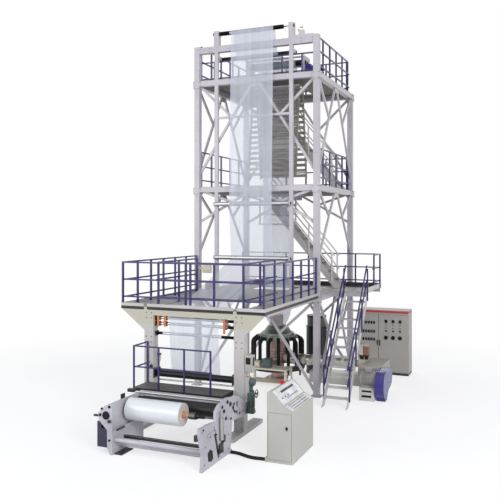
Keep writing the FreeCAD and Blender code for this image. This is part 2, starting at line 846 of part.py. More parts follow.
# Guard rails: square posts on the floor, a top rail lying on them and lower rails bolted to their faces.
def rail_run(axis, span, line, floor, bays, side, heights=("rail_high", "rail_mid", "rail_low"),
             post="rail_post",
             bar="rail_side", butt=None, crossed=False):
    """One straight run along x or y at a line across, with its lower rails on the side + or - of the line.

    butt names the end ("start" or "end") that has no post, because it meets the corner post of another
    run; crossed says that the other run's lower rails lie on this run's side of that post.
    """
    start, end = span
    across = (f"{line} - {post} / 2", f"{line} + {post} / 2")
    over = (f"{line} - {bar} / 2", f"{line} + {bar} / 2")
    beside = f"{line} {side} ({post} / 2 + weld_gap + {bar} / 2)"
    thin = (f"{beside} - {bar} / 2", f"{beside} + {bar} / 2")
    low_room = f"({post} / 2 + weld_gap" + (f" + {bar} + weld_gap)" if crossed else ")")
    pieces = []
    for index in range(bays + 1):
        if (index == 0 and butt == "start") or (index == bays and butt == "end"):
            continue
        at = f"({start}) + {post} / 2 + (({end}) - ({start}) - {post}) * {index} / {bays}"
        length = (f"{at} - {post} / 2", f"{at} + {post} / 2")
        height = (floor, f"{floor} + {heights[0]} - {bar} - weld_gap")
        pieces.append(block(length, across, height) if axis == "x" else block(across, length, height))
    for high in heights:
        top = high == heights[0]
        room = f"({bar} / 2 + weld_gap)" if top else low_room
        length = (f"{start} + {room}" if butt == "start" else start, f"{end} - {room}"
                  if butt == "end" else end)
        depth = over if top else thin
        level = (f"{floor} + {high} - {bar}", f"{floor} + {high}")
        pieces.append(block(length, depth, level) if axis == "x" else block(depth, length, level))
    return pieces


inset = "(rail_post / 2 + toe_thick + weld_gap)"
LEFT_LINE = f"-front_left + {inset}"
RIGHT_LINE = f"front_right - {inset}"
FRONT_LINE = f"-front_edge + {inset}"
side_span = (FRONT_LINE, f"{FRONT_FACE} - rail_end")
node(
    "low_platform_rails",
    *rail_run("x", (f"{LEFT_LINE} - rail_post / 2", f"{RIGHT_LINE} + rail_post / 2"), FRONT_LINE,
              "floor_low", 2, "+"),
    *rail_run("y", side_span, LEFT_LINE, "floor_low", 6, "+", butt="start", crossed=True),
    *rail_run("y", side_span, RIGHT_LINE, "floor_low", 6, "-", butt="start", crossed=True),
)
GATE_LEFT = "-gate_left - rail_post / 2"
GATE_RIGHT = "gate_right + rail_post / 2"
GATE_FRONT = "-gate_front - rail_post / 2"
gate_span = (GATE_FRONT, "-gate_back")
node(
    "gate_rails",
    *rail_run("x", (f"{GATE_LEFT} - rail_post / 2", f"{GATE_RIGHT} + rail_post / 2"), GATE_FRONT,
              "floor_low", 3, "-"),
    *rail_run("y", gate_span, GATE_LEFT, "floor_low", 2, "-", butt="start"),
    *rail_run("y", gate_span, GATE_RIGHT, "floor_low", 2, "+", butt="start"),
)
WALK_BACK = f"walkway_back - {inset}"
WALK_RIGHT = f"walkway_right - {inset}"
node(
    "walkway_rails",
    *rail_run("x", ("-tower_half_x + column_side / 2 + weld_gap", f"{WALK_RIGHT} + rail_post / 2"),
              WALK_BACK,
              "floor_low", 6, "+"),
    *rail_run("y", ("walkway_back - walkway_run", WALK_BACK), WALK_RIGHT, "floor_low", 1, "-", butt="end"),
)


def tower_rails(floor):
    """Rails between the columns at the left, back and right of an upper floor."""
    edge = "(column_side / 2 + weld_gap)"
    along_y = (f"-tower_half_y + {edge}", f"tower_half_y - {edge}")
    along_x = (f"-tower_half_x + {edge}", f"tower_half_x - {edge}")
    return [
        *rail_run("y", along_y, "-tower_half_x + rail_inset", floor, 5, "-"),
        *rail_run("y", along_y, "tower_half_x - rail_inset", floor, 5, "+"),
        *rail_run("x", along_x, "tower_half_y - rail_inset", floor, 5, "+"),
    ]


node("upper_floor_rails", *tower_rails("floor_mid"), *tower_rails("floor_top"))


# Stairs: two stringers cut level at both ends, treads between them, and a sloped rail on each side.
TREADS = 12


def flight(plane, foot, direction, low, high, side_span):
    """Stringers and treads of one flight that climbs from foot along x or y; direction is its sense."""
    rise = f"({high} - deck_thick - ({low}))"
    run = f"{rise} / stair_slope"
    past = "stringer_deep * 3"
    first = (f"({foot}) - {direction} * {past}", f"({low}) - {past} * stair_slope")
    last = (f"({foot}) + {direction} * ({run} + {past})", f"{high} - deck_thick + {past} * stair_slope")
    level = (low, f"{high} - deck_thick - weld_gap")
    reach = (f"({foot}) - stringer_reach", f"({foot}) + {run}")
    if direction == "-1":
        reach = (f"({foot}) - {run}", f"({foot}) + stringer_reach")
    pieces = []
    for edge in (side_span[0], f"{side_span[1]} - stringer_thick"):
        across = (edge, f"{edge} + stringer_thick")
        bar = strut(plane, first, last, across, "stringer_deep")
        envelope = block(reach, across, level) if plane == "xz" else block(across, reach, level)
        pieces.append(common(bar, envelope))
    inner = (f"{side_span[0]} + stringer_thick + weld_gap", f"{side_span[1]} - stringer_thick - weld_gap")
    for index in range(1, TREADS):
        z = f"({low}) + ({rise}) * {index} / {TREADS}"
        u = f"({foot}) + {direction} * {run} * {index} / {TREADS}"
        length = (f"{u} - tread_deep / 2", f"{u} + tread_deep / 2")
        height = (f"{z} - tread_thick", z)
        pieces.append(block(length, inner, height) if plane == "xz" else block(inner, length, height))
    return pieces


RAIL_ENDS = (0.04, 0.97)
RAIL_POSTS = 4
END_SHARE = 0.03


def handrails(plane, foot, direction, low, high, side_span):
    """Posts on the outside of both stringers, with two sloped rails each on their inner faces."""
    rise = f"({high} - deck_thick - ({low}))"
    run = f"{rise} / stair_slope"
    start, stop = RAIL_ENDS
    pieces = []
    for posts, rails in (
        ((f"{side_span[0]} - rail_side", side_span[0]),
         (f"{side_span[0]} + weld_gap", f"{side_span[0]} + weld_gap + rail_side")),
        ((side_span[1], f"{side_span[1]} + rail_side"),
         (f"{side_span[1]} - weld_gap - rail_side", f"{side_span[1]} - weld_gap")),
    ):
        for lift in ("handrail_high", "handrail_mid"):
            ends_at = [(f"({foot}) + {direction} * {run} * {share}", f"({low}) + {rise} * {share} + {lift}")
                       for share in RAIL_ENDS]
            pieces.append(strut(plane, ends_at[0], ends_at[1], rails, "rail_side"))
        for step in range(RAIL_POSTS):
            share = start + END_SHARE + (stop - start - 2 * END_SHARE) * step / (RAIL_POSTS - 1)
            u = f"({foot}) + {direction} * {run} * {share:.4f}"
            z = f"({low}) + {rise} * {share:.4f}"
            length = (f"{u} - rail_side / 2", f"{u} + rail_side / 2")
            height = (f"{z} - stringer_deep / 4", f"{z} + handrail_high")
            pieces.append(block(length, posts, height) if plane == "xz" else block(posts, length, height))
    return pieces


OUT = ("stair_out_left", "stair_out_right")
IN = ("stair_in_front", "stair_in_back")
OUT_FOOT = "-walkway_front - (floor_low - deck_thick) / stair_slope"
node("outer_stair", *flight("yz", OUT_FOOT, "1", "0", "floor_low", OUT))
node("outer_stair_rails", *handrails("yz", OUT_FOOT, "1", "0", "floor_low", OUT))
node(
    "inner_stairs",
    *flight("xz", "stair_in_foot", "-1", "floor_low", "floor_mid", IN),
    *flight("xz", "stair_in_foot", "-1", "floor_mid", "floor_top", IN),
)
node(
    "inner_stair_rails",
    *handrails("xz", "stair_in_foot", "-1", "floor_low", "floor_mid", IN),
    *handrails("xz", "stair_in_foot", "-1", "floor_mid", "floor_top", IN),
)

# Front frame: two box columns on skids, a beam under the platform, tapered brackets and two boxes.
FRAME_DEPTH = ("-frame_front", "-frame_front + frame_column_y")
BEAM_DEPTH = ("-frame_front", "-frame_front + frame_beam_wide")
FRAME_TOP = "floor_low - deck_thick"
LEFT_COLUMN = ("-frame_left", "-frame_left + frame_column_x")
RIGHT_COLUMN = ("frame_right - frame_column_x", "frame_right")
SKID = ("-frame_front - skid_front", "-frame_front + skid_reach")
frame_pieces = [
    block((f"{LEFT_COLUMN[1]} + weld_gap", f"{RIGHT_COLUMN[0]} - weld_gap"), BEAM_DEPTH,
          (f"{FRAME_TOP} - frame_beam_deep", FRAME_TOP)),
]
for span in (LEFT_COLUMN, RIGHT_COLUMN):
    frame_pieces.append(block(span, FRAME_DEPTH, ("skid_high + weld_gap", FRAME_TOP)))
    frame_pieces.append(block(span, SKID, ("0", "skid_high")))
for tip, root in (("-front_left + joist_inset", "-frame_left - weld_gap"),
                  ("front_right - joist_inset", "frame_right + weld_gap")):
    outline = ((tip, FRAME_TOP), (root, FRAME_TOP), (root, f"{FRAME_TOP} - bracket_deep"),
               (tip, f"{FRAME_TOP} - bracket_tip"))
    frame_pieces.append(plate("XZ_Plane", outline, "frame_beam_wide", "-frame_front + frame_beam_wide"))
BOX_DEPTH = ("-frame_front + box_inset", "-frame_front + box_inset + switch_box_deep")
beside_frame = "frame_right + weld_gap"
frame_pieces.append(block((beside_frame, "frame_right + switch_box_wide"), BOX_DEPTH,
                          ("switch_box_low", "switch_box_high")))
frame_pieces.append(block((beside_frame, "frame_right + nip_drive_wide"), BOX_DEPTH,
                          ("nip_drive_low", "nip_drive_high")))
node("front_frame", *frame_pieces)

# Catwalk in front of the frame: a folded tray, with its own low rail.
CAT = ("-catwalk_front", "-frame_front - weld_gap")
CAT_LIP = ("catwalk_top - catwalk_deep", "catwalk_top")
node(
    "catwalk",
    fuse(
        block(("-catwalk_left", "catwalk_right"), CAT, ("catwalk_top - catwalk_sheet", "catwalk_top")),
        block(("-catwalk_left", "catwalk_right"), ("-catwalk_front", "-catwalk_front + catwalk_sheet"),
              CAT_LIP),
        block(("-catwalk_left", "-catwalk_left + catwalk_sheet"), CAT, CAT_LIP),
        block(("catwalk_right - catwalk_sheet", "catwalk_right"), CAT, CAT_LIP),
    ),
)
cat_line = "-catwalk_front + catwalk_post / 2"
cat_side = "-catwalk_left + catwalk_post / 2"
CAT_RAIL = {"heights": ("catwalk_rail", "catwalk_rail_mid"), "post": "catwalk_post", "bar": "catwalk_bar"}
node(
    "catwalk_rails",
    *rail_run("x", ("-catwalk_left", "catwalk_right - catwalk_open"), cat_line, "catwalk_top", 3, "+",
              **CAT_RAIL),
    *rail_run("y", (cat_line, "-frame_front - weld_gap"), cat_side, "catwalk_top", 1, "+", butt="start",
              crossed=True, **CAT_RAIL),
)


# Rollers turn on journals in bearing blocks; every block is bored with the journal's clearance.
def roller(span, ends, y, z, radius, *bands):
    """A roller with a journal at each end, which reaches into its bearings; bands are raised collars."""
    pieces = [rod("x", radius, span, y, z), flat_rod("x", "journal", ends, y, z)]
    for band in bands:
        pieces.append(flat_rod("x", "band_radius", band, y, z))
    return fuse(*pieces)


def bearing(span, y, z, side="bearing_side"):
    """A square bearing block, bored for a journal."""
    body = block(span, (f"{y} - {side} / 2", f"{y} + {side} / 2"),
                 (f"{z} - {side} / 2", f"{z} + {side} / 2"))
    return cut(body, bore("x", "journal", span, y, z))


IDLER_LEFT = ("-frame_left + frame_column_x", "-frame_left + frame_column_x + bearing_thick")
IDLER_RIGHT = ("frame_right - frame_column_x - bearing_thick", "frame_right - frame_column_x")
idler_span = (f"{IDLER_LEFT[1]} + roller_gap", f"{IDLER_RIGHT[0]} - roller_gap")
idler_ends = (f"{IDLER_LEFT[0]} + roller_gap", f"{IDLER_RIGHT[1]} - roller_gap")
collars = [(f"{at} - band_long / 2", f"{at} + band_long / 2")
           for at in ("-band_inner", "-band_left", "band_right")]
idler_blocks = []
for name, z, bands in (("upper_idler", "idler_high", collars), ("middle_idler", "idler_middle", collars),
                       ("lower_idler", "idler_lower", ())):
    node(name, roller(idler_span, idler_ends, "-idler_y", z, "idler_radius", *bands))
    idler_blocks.append(bearing(IDLER_LEFT, "-idler_y", z))
    idler_blocks.append(bearing(IDLER_RIGHT, "-idler_y", z))
node("web_nip_roller", roller(idler_span, idler_ends, "-idler_y", "nip_low_z", "nip_low_radius"))
for span in (IDLER_LEFT, IDLER_RIGHT):
    idler_blocks.append(bearing(span, "-idler_y", "nip_low_z", "nip_bearing_side"))
node("frame_bearings", *idler_blocks)

# Guide rollers of the tower: over the portal, behind it, and two down the front face.
TOP_SPAN = ("-guide_left", "guide_right")
POST_LEFT = "-inner_post_left + roller_post_side / 2"
POST_RIGHT = "inner_post_right - roller_post_side / 2"
node("top_guide_roller", roller(
    TOP_SPAN, (f"{POST_LEFT} - roller_post_side + roller_gap",
               f"{POST_RIGHT} + roller_post_side - roller_gap"),
    "-tower_half_y - guide_top_forward", "guide_top_z", "guide_radius"))
FRONT_LINE_Y = f"{FRONT_FACE} - guide_front_gap - guide_radius"
BACK_OF_FRONT = "-tower_half_y + column_side / 2"
arm_left = ("-inner_post_left - arm_thick / 2", "-inner_post_left + arm_thick / 2")
arm_right = ("inner_post_right - arm_thick / 2", "inner_post_right + arm_thick / 2")
guide_arms = []
for name, y, z in (("second_guide_roller", "-guide_second_y", "guide_second_z"),
                   ("middle_guide_roller", FRONT_LINE_Y, "guide_mid_z"),
                   ("lower_guide_roller", FRONT_LINE_Y, "guide_low_z")):
    span = (f"{arm_left[1]} + roller_gap", f"{arm_right[0]} - roller_gap")
    node(name, roller(span, (f"{arm_left[0]} + roller_gap", f"{arm_right[1]} - roller_gap"), y, z,
                      "guide_radius"))
    for x_span in (arm_left, arm_right):
        reach = (f"{y} - bearing_side / 2", FRONT_FACE)
        if y != FRONT_LINE_Y:
            reach = (f"{BACK_OF_FRONT} + arm_thick + weld_gap", f"{y} + bearing_side / 2")
            guide_arms.append(block(x_span, (BACK_OF_FRONT, f"{BACK_OF_FRONT} + arm_thick"),
                                    (f"{z} - bearing_side / 2", "portal_top - portal_cap")))
        body = block(x_span, reach, (f"{z} - bearing_side / 2", f"{z} + bearing_side / 2"))
        guide_arms.append(cut(body, bore("x", "journal", x_span, y, z)))
node("guide_arms", *guide_arms)

# Haul-off at the top: two side plates, the nip pair between them and the drive on the right plate.
HAUL_LEFT = ("-haul_plate_x - haul_plate_thick", "-haul_plate_x")
HAUL_RIGHT = ("haul_plate_x", "haul_plate_x + haul_plate_thick")
nip_y = "(nip_radius + nip_apart / 2)"
nip_bores = [bore("x", "journal", (HAUL_LEFT[0], HAUL_RIGHT[1]), f"{sign}{nip_y}", "nip_z")
             for sign in ("-", "")]
plates = [cut(block(span, ("-haul_half_y", "haul_half_y"), ("floor_top", "floor_top + haul_high")),
              *nip_bores)
          for span in (HAUL_LEFT, HAUL_RIGHT)]
BAR = ("-haul_plate_x + weld_gap", "haul_plate_x - weld_gap")
cross = [flat_rod("x", "haul_bar", BAR, f"{side} (haul_half_y - 2 * haul_bar)",
                  "floor_top + haul_high - 2 * haul_bar")
         for side in ("-", "0 +")]
cross += [flat_rod("x", "haul_bar", BAR, y, "haul_bar_z") for y in ("-slat_top_y", "slat_top_y")]
node("haul_off_frame", *plates, *cross)
for name, sign in (("haul_off_front_roller", "-"), ("haul_off_back_roller", "")):
    node(name, roller(
        ("-nip_half_long", "nip_half_long"),
        (f"{HAUL_LEFT[0]} + roller_gap", f"{HAUL_RIGHT[1]} - roller_gap"), f"{sign}{nip_y}", "nip_z",
        "nip_radius"))
drive_low = "nip_z - haul_drive_drop"
node("haul_off_drive", fuse(
    block((f"{HAUL_RIGHT[1]} + weld_gap", f"{HAUL_RIGHT[1]} + haul_drive_wide"),
          ("-haul_drive_half", "haul_drive_half"),
          (drive_low, f"{drive_low} + haul_drive_high")),
    rod("x", "haul_motor_radius",
        (f"{HAUL_RIGHT[1]} + haul_drive_wide - weld_gap",
         f"{HAUL_RIGHT[1]} + haul_drive_wide + haul_motor_long"),
        "0", f"{drive_low} + haul_drive_high / 2"),
))

# Collapsing frame: two leaning boards of slats that close above the bubble.
SLATS = 17
board_pieces = []
lean_run = "(slat_bottom_y - slat_top_y)"
lean_rise = "(slat_top_z - slat_bottom_z)"
for sign in ("-", ""):
    low = (f"{sign}slat_bottom_y", "slat_bottom_z")
    high = (f"{sign}slat_top_y", "slat_top_z")
    for x_span in (("-slat_half_long", "-slat_half_long + slat_rail_thick"),
                   ("slat_half_long - slat_rail_thick", "slat_half_long")):
        board_pieces.append(strut("yz", low, high, x_span, "slat_rail_wide"))
    slat_x = ("-slat_half_long + slat_rail_thick + weld_gap", "slat_half_long - slat_rail_thick - weld_gap")
    for index in range(SLATS):
        middle = f"({index} + 0.5) / {SLATS}"
        half = f"slat_deep / 2 / hypot({lean_run}; {lean_rise})"
        ends = [(f"{sign}(slat_bottom_y - {lean_run} * ({middle} {turn} {half}))",
                 f"slat_bottom_z + {lean_rise} * ({middle} {turn} {half})")
                for turn in ("-", "+")]
        board_pieces.append(strut("yz", ends[0], ends[1], slat_x, "slat_thick"))
node("collapsing_frame", *board_pieces)

# Web sheets between the rollers, each clear of the turning rollers.
WEB = ("-web_left", "web_right")
off = "guide_radius + film_clear + film_thick / 2"
front_off = f"-tower_half_y - guide_top_forward - ({off})"
web_front_y = f"{FRONT_LINE_Y} - ({off})"
slope_start = (web_front_y, "guide_low_z - web_lead + bearing_thick / 4")
slope_end = ("-idler_y - bearing_thick * 0.3",
             "idler_high + (idler_radius + film_clear + film_thick / 2) * 0.95")
web_low_y = "-idler_y - idler_radius - film_clear - film_thick / 2"
WEB_LOW = ("-web_low_left", "web_low_right")
WEB_SLOPE = ("-(web_left + web_low_left) / 2", "(web_right + web_low_right) / 2")
node(
    "web_sheets",
    strut("yz", ("-web_lead", "nip_z + nip_radius + web_lead - 5"),
          ("-guide_second_y", f"guide_second_z - ({off}) * 1.012"), WEB, "film_thick"),
    strut("yz", (f"-guide_second_y - ({off})", "guide_second_z + web_lead / 3"),
          (f"-tower_half_y - guide_top_forward + ({off})", "guide_top_z"), WEB, "film_thick"),
    strut("yz", (front_off, "guide_top_z"), (web_front_y, "guide_mid_z"), WEB, "film_thick"),
    strut("yz", (web_front_y, "guide_mid_z - 1"), (web_front_y, "guide_low_z"), WEB, "film_thick"),
    strut("yz", slope_start, slope_end, WEB_SLOPE, "film_thick"),
    strut("yz", (web_low_y, "idler_high - 5"), (web_low_y, "nip_low_z + nip_low_radius"), WEB_LOW,
          "film_thick"),
)

# Film bubble: it widens above the air ring, runs up the tower and folds flat towards the nip in creases.
CREASES = 24


def ring_points(half_x, half_y, z):
    """Corners of a film ring that is a circle or a flattened ellipse, one at each crease."""
    turns = [2 * math.pi * index / CREASES for index in range(CREASES)]
    return [FreeCAD.Vector(half_x * math.cos(turn), half_y * math.sin(turn), z) for turn in turns]


def strip(first, second):
    """Flat triangles between two rings of corners."""
    faces = []
    for index in range(CREASES):
        after = (index + 1) % CREASES
        for corners in ((first[index], first[after], second[after]),
                        (first[index], second[after], second[index])):
            faces.append(Part.Face(Part.makePolygon([*corners, corners[0]])))
    return faces


def film_length(low, high):
    """One thin closed length of film between two rings, each given as half width, half depth and height."""
    walls = []
    for inward in (0, value("film_thick")):
        walls.append([ring_points(value(half_x) - inward, value(half_y) - inward, value(z))
                      for half_x, half_y, z in (low, high)])
    outer, inner = walls
    faces = strip(*outer) + strip(*inner) + strip(outer[0], inner[0]) + strip(outer[1], inner[1])
    length = doc.addObject("Part::Feature", "film_length")
    length.Shape = Part.Solid(Part.makeShell(faces))
    if length.Shape.Volume < 0:
        length.Shape = length.Shape.reversed()
    return length


def round_ring(radius, z):
    """The ring of the bubble where it is still round."""
    return (radius, radius, z)


node(
    "film_bubble",
    film_length(round_ring("bubble_neck", "bubble_base"), round_ring("bubble_radius", "bubble_full")),
    film_length(round_ring("bubble_radius", "bubble_full + weld_gap"),
                round_ring("bubble_radius", "bubble_frost")),
    film_length(round_ring("bubble_radius", "bubble_frost + weld_gap"),
                ("bubble_flat_half", "bubble_flat_thin", "bubble_top")),
)

# Sizing cage round the bubble under the middle floor: eight-sided hoops of straight bars on four hangers.
HOOP_SIDES = 8
cage_pieces = []
cage_in = "cage_radius - cage_bar / 2"
cage_half = f"({cage_in}) * tan({180 / HOOP_SIDES}) - weld_gap"
for level in range(3):
    cage_low = f"cage_z + cage_pitch * {level}"
    for side in range(HOOP_SIDES):
        hoop_bar = block((cage_in, f"{cage_in} + cage_bar"), (f"-({cage_half})", cage_half),
                         (cage_low, f"{cage_low} + cage_bar"))
        cage_pieces.append(turned(hoop_bar, 360 / HOOP_SIDES * side))
hanger_at = "cage_radius + cage_bar + weld_gap"
beam_high = "floor_mid - deck_thick - cage_beam_drop"
cross_high = f"{beam_high} - cage_beam - weld_gap"
for quarter in range(4):
    top = f"{beam_high} - cage_beam" if quarter % 2 == 0 else f"{cross_high} - cage_beam"
    hanger = block((f"{hanger_at} - cage_bar / 2", f"{hanger_at} + cage_bar / 2"),
                   ("-cage_bar / 2", "cage_bar / 2"),
                   ("cage_z", f"{top} - weld_gap"))
    cage_pieces.append(turned(hanger, 90 * quarter))
for side in ("-1", "1"):
    across = (f"{side} * ({hanger_at}) - cage_beam / 2", f"{side} * ({hanger_at}) + cage_beam / 2")
    cage_pieces.append(block(across, ("-tower_half_y + column_side / 2", "cage_radius + cage_bar / 2"),
                             (f"{beam_high} - cage_beam", beam_high)))
    cage_pieces.append(block((f"-({hanger_at}) - cage_beam / 2", f"{hanger_at} + cage_beam / 2"), across,
                             (f"{cross_high} - cage_beam", cross_high)))
node("bubble_cage", *cage_pieces)

# Die on its pedestal, with the inner cooling stack standing on it.
DIE_SIDES = 32
node("die_stand", fuse(
    block(("-pedestal_plate / 2", "pedestal_plate / 2"), ("-pedestal_plate / 2", "pedestal_plate / 2"),
          ("0", "pedestal_thick")),
    rod("z", "pedestal_radius", ("0", "die_low"), "0", "0"),
))
node("die_head", fuse(
    flat_rod("z", "die_flange_radius", ("die_low", "die_low + die_foot_high"), "0", "0", DIE_SIDES),
    flat_rod("z", "die_radius", ("die_low", "die_high"), "0", "0", DIE_SIDES),
    flat_rod("z", "die_flange_radius", ("die_high", "die_flange_high"), "0", "0", DIE_SIDES),
    flat_rod("z", "die_radius", ("die_flange_high", "air_ring_high"), "0", "0", DIE_SIDES),
    flat_rod("z", "stack_radius", ("air_ring_high", "stack_top"), "0", "0", DIE_SIDES),
))
air_cone = doc.addObject("Part::Cone", "cone")
air_cone.setExpression("Radius1", bound("air_cone_low_radius"))
air_cone.setExpression("Radius2", bound("air_cone_radius"))
air_cone.setExpression("Height", bound("air_cone_high - air_ring_high"))
place(air_cone, "0", "0", "air_ring_high")
node("air_ring", cut(
    fuse(
        rod("z", "air_ring_radius", ("air_ring_low", "air_lid_low"), "0", "0"),
        rod("z", "air_lid_radius", ("air_lid_low", "air_ring_high"), "0", "0"),
        air_cone,
    ),
    rod("z", "air_bore", ("air_ring_low", "air_cone_high"), "0", "0"),
))

# Air manifold: a sixteen-sided ring duct on four legs, with a hose up to the air ring at every second side.
RING_SIDES = 16
HOSES = 8
ring_low = "manifold_z - manifold_tube"
ring_high = "manifold_z + manifold_tube"
manifold_ring = cut(
    flat_rod("z", "hose_out + manifold_tube", (ring_low, ring_high), "0", "0", RING_SIDES),
    flat_rod("z", "hose_out - manifold_tube", (ring_low, ring_high), "0", "0", RING_SIDES),
)
blower_reach = rod("z", "blower_radius + weld_gap", ("0", "blower_high"), "blower_x", "blower_y")
duct_start = "sqrt(hose_out^2 - duct_x^2)"
leg_at = "hose_out * sqrt(0.5)"
legs = [block((f"{x} * {leg_at} - manifold_leg / 2", f"{x} * {leg_at} + manifold_leg / 2"),
              (f"{y} * {leg_at} - manifold_leg / 2", f"{y} * {leg_at} + manifold_leg / 2"),
              ("0", f"{ring_low} - weld_gap"))
        for x in ("-1", "1") for y in ("-1", "1")]
node(
    "air_manifold",
    fuse(manifold_ring,
         cut(rod("y", "duct_radius", (duct_start, "blower_y"), "duct_x", "manifold_z"), blower_reach)),
    *legs,
)


def hose(angle):
    """An air hose: straight out of the ring, then down on to the manifold."""
    middle = "(air_ring_low + air_lid_low) / 2"
    outward = flat_rod("x", "hose_radius", ("air_ring_radius + weld_gap", "hose_out + hose_radius / 2"), "0",
                       middle)
    downward = flat_rod("z", "hose_radius", (f"{ring_high} + weld_gap", f"{middle} + hose_radius / 2"),
                        "hose_out", "0")
    return turned(fuse(outward, downward), angle)


node("air_hoses", *[hose((turn + 0.5) * 360 / HOSES) for turn in range(HOSES)])

# Service table beside the die.
TABLE_X = ("-table_left", "table_right")
TABLE_Y = ("-table_front", "-table_back")
inner_x = ("-table_left + table_leg + weld_gap", "table_right - table_leg - weld_gap")
table_legs = [block((x, f"{x} + table_leg"), (y, f"{y} + table_leg"),
                    ("0", "table_top - table_thick - weld_gap"))
              for x in ("-table_left", "table_right - table_leg")
              for y in ("-table_front", "-table_back - table_leg")]
node(
    "service_table",
    block(TABLE_X, TABLE_Y, ("table_top - table_thick", "table_top")),
    block(inner_x, TABLE_Y, ("table_shelf - shelf_thick", "table_shelf")),
    *table_legs,
)

# Cooling blower behind the die.
node("blower", fuse(
    rod("z", "blower_radius", ("0", "blower_band"), "blower_x", "blower_y"),
    rod("z", "blower_radius - blower_step", ("blower_band", "blower_high"), "blower_x", "blower_y"),
))

# Extruder along +X: bed, barrel with its guard, feed throat and gearbox, hoppers, motor and belt guard.
node(
    "extruder_bed",
    block(("bed_left", "throat_right - weld_gap"), ("-bed_half_y", "bed_half_y"), ("0", "bed_high")),
    block(("throat_right", "gearbox_right"), ("-gearbox_front", "gearbox_back"), ("0", "bed_high")),
    block(("motor_left", "motor_right"), ("-motor_y - motor_base_half", "-motor_y + motor_base_half"),
          ("0", "motor_base_high - weld_gap")),
)
node("extruder", fuse(
    rod("x", "barrel_radius", ("die_radius + weld_gap", "throat_left + weld_gap"), "0", "barrel_z"),
    rod("x", "barrel_guard_radius", ("die_radius + barrel_guard_start", "barrel_end"), "0", "barrel_z"),
    block(("throat_left", "throat_right + weld_gap"), ("-throat_half_y", "throat_half_y"),
          ("bed_high + weld_gap", "throat_high")),
    block(("throat_right", "gearbox_right"), ("-gearbox_front", "gearbox_back"),
          ("bed_high + weld_gap", "gearbox_high")),
    flat_rod("x", "drive_shaft", ("gearbox_right - roller_gap", "guard_left - weld_gap"), "-guard_high_y",
             "guard_high_z"),
))
hopper_pieces = []
for x in ("throat_left + hopper_inset + hopper_wide / 2", "throat_right - hopper_inset - hopper_wide / 2"):
    rim = ("hopper_wide / 2", "hopper_side / 2")
    hopper_pieces.append(fuse(
        funnel(x, "0", ("throat_high + weld_gap", "hopper_neck_high"),
               ("hopper_neck / 2", "hopper_neck / 2"), rim),
        block((f"{x} - {rim[0]}", f"{x} + {rim[0]}"), (f"-{rim[1]}", rim[1]),
              ("hopper_neck_high", "hopper_high")),
    ))
node("hoppers", *hopper_pieces)
node("drive_motor", fuse(
    rod("x", "motor_radius", ("motor_left", "motor_right"), "-motor_y", "motor_z"),
    block(("motor_left + box_inset", "motor_right - box_inset"),
          ("-motor_y - motor_foot_half", "-motor_y + motor_foot_half"),
          ("motor_base_high", "motor_z")),
    flat_rod("x", "drive_shaft", ("motor_right - roller_gap", "guard_left - weld_gap"), "-motor_y",
             "motor_z"),
))
GUARD = ("guard_left", "guard_left + guard_wide")
node("belt_guard", fuse(
    rod("x", "guard_low_radius", GUARD, "-motor_y", "guard_low_z"),
    rod("x", "guard_high_radius", GUARD, "-guard_high_y", "guard_high_z"),
    strut("yz", ("-motor_y", "guard_low_z"), ("-guard_high_y", "guard_high_z"), GUARD,
          "guard_high_radius * 2"),
    block(GUARD, ("-motor_y - guard_foot_half", "-motor_y + guard_foot_half"), ("0", "guard_low_z")),
))

# Winder: a left case on its leg behind a face plate, a right side plate with its nose, ties and a beam.
left_outline = (("-winder_left_in", "0"), ("-winder_left_in", "leg_high"),
                ("-winder_left_in - housing_thick", "leg_high"),
                ("-winder_left_in - housing_thick", "case_high"), ("-case_bevel", "case_bevel_high"),
                ("-winder_left_out", "case_side_high"), ("-winder_left_out + case_inset", "case_low"),
                ("-leg_out", "leg_high"), ("-leg_out", "leg_toe_high"), ("-leg_toe", "0"))
face_outline = (("-winder_left_in", "0"), ("-winder_left_in", "case_high"), *left_outline[4:])
right_outline = (("-plate_toe", "0"), ("-plate_neck", "neck_high"), ("-nose_y", "nose_low"),
                 ("-nose_y", "nose_high"),
                 ("-saddle_y", "nose_high"), ("-step_y", "step_low"), ("-step_y", "step_high"),
                 ("-crown_front", "crown_low"),
                 ("-crown_y", "crown_high"), ("-shoulder_y", "shoulder_high"), ("-tail_y", "tail_high"),
                 ("-tail_y", "tail_low"),
                 ("-belly_y", "belly_high"), ("-heel_top_y", "heel_high"), ("-heel_y", "0"))
left_case = plate("XZ_Plane", left_outline, "winder_left_front - winder_face - weld_gap - winder_left_back",
                  "-winder_left_back")
left_face = plate("XZ_Plane", face_outline, "winder_face", "-winder_left_front + winder_face")
right_plate = plate("YZ_Plane", right_outline, "winder_plate", "winder_right_in")
TIE = ("-winder_left_in + weld_gap", "winder_right_in - weld_gap")
CABLE_Y = -7010
GLAND_X = ("winder_right_in + winder_plate", "winder_right_in + winder_plate + gland_long")
gland = block(GLAND_X, (f"{CABLE_Y} - gland_side / 2", f"{CABLE_Y} + gland_side / 2"),
              ("weld_gap", "gland_side"))
node(
    "winder_frame",
    left_case,
    left_face,
    fuse(right_plate, gland),
    rod("x", "tie_radius", TIE, "-tie_front_y", "tie_z"),
    rod("x", "tie_radius", TIE, "-tie_low_y", "tie_low_z"),
    block(TIE, ("-tie_bar_y - tie_bar_side / 2", "-tie_bar_y + tie_bar_side / 2"),
          ("tie_z - tie_bar_side", "tie_z")),
    block(("-winder_left_in - housing_thick + weld_gap", "winder_right_in - weld_gap"),
          ("-winder_beam_y - winder_beam_side", "-winder_beam_y"),
          ("winder_beam_z", "winder_beam_z + winder_beam_side")),
)

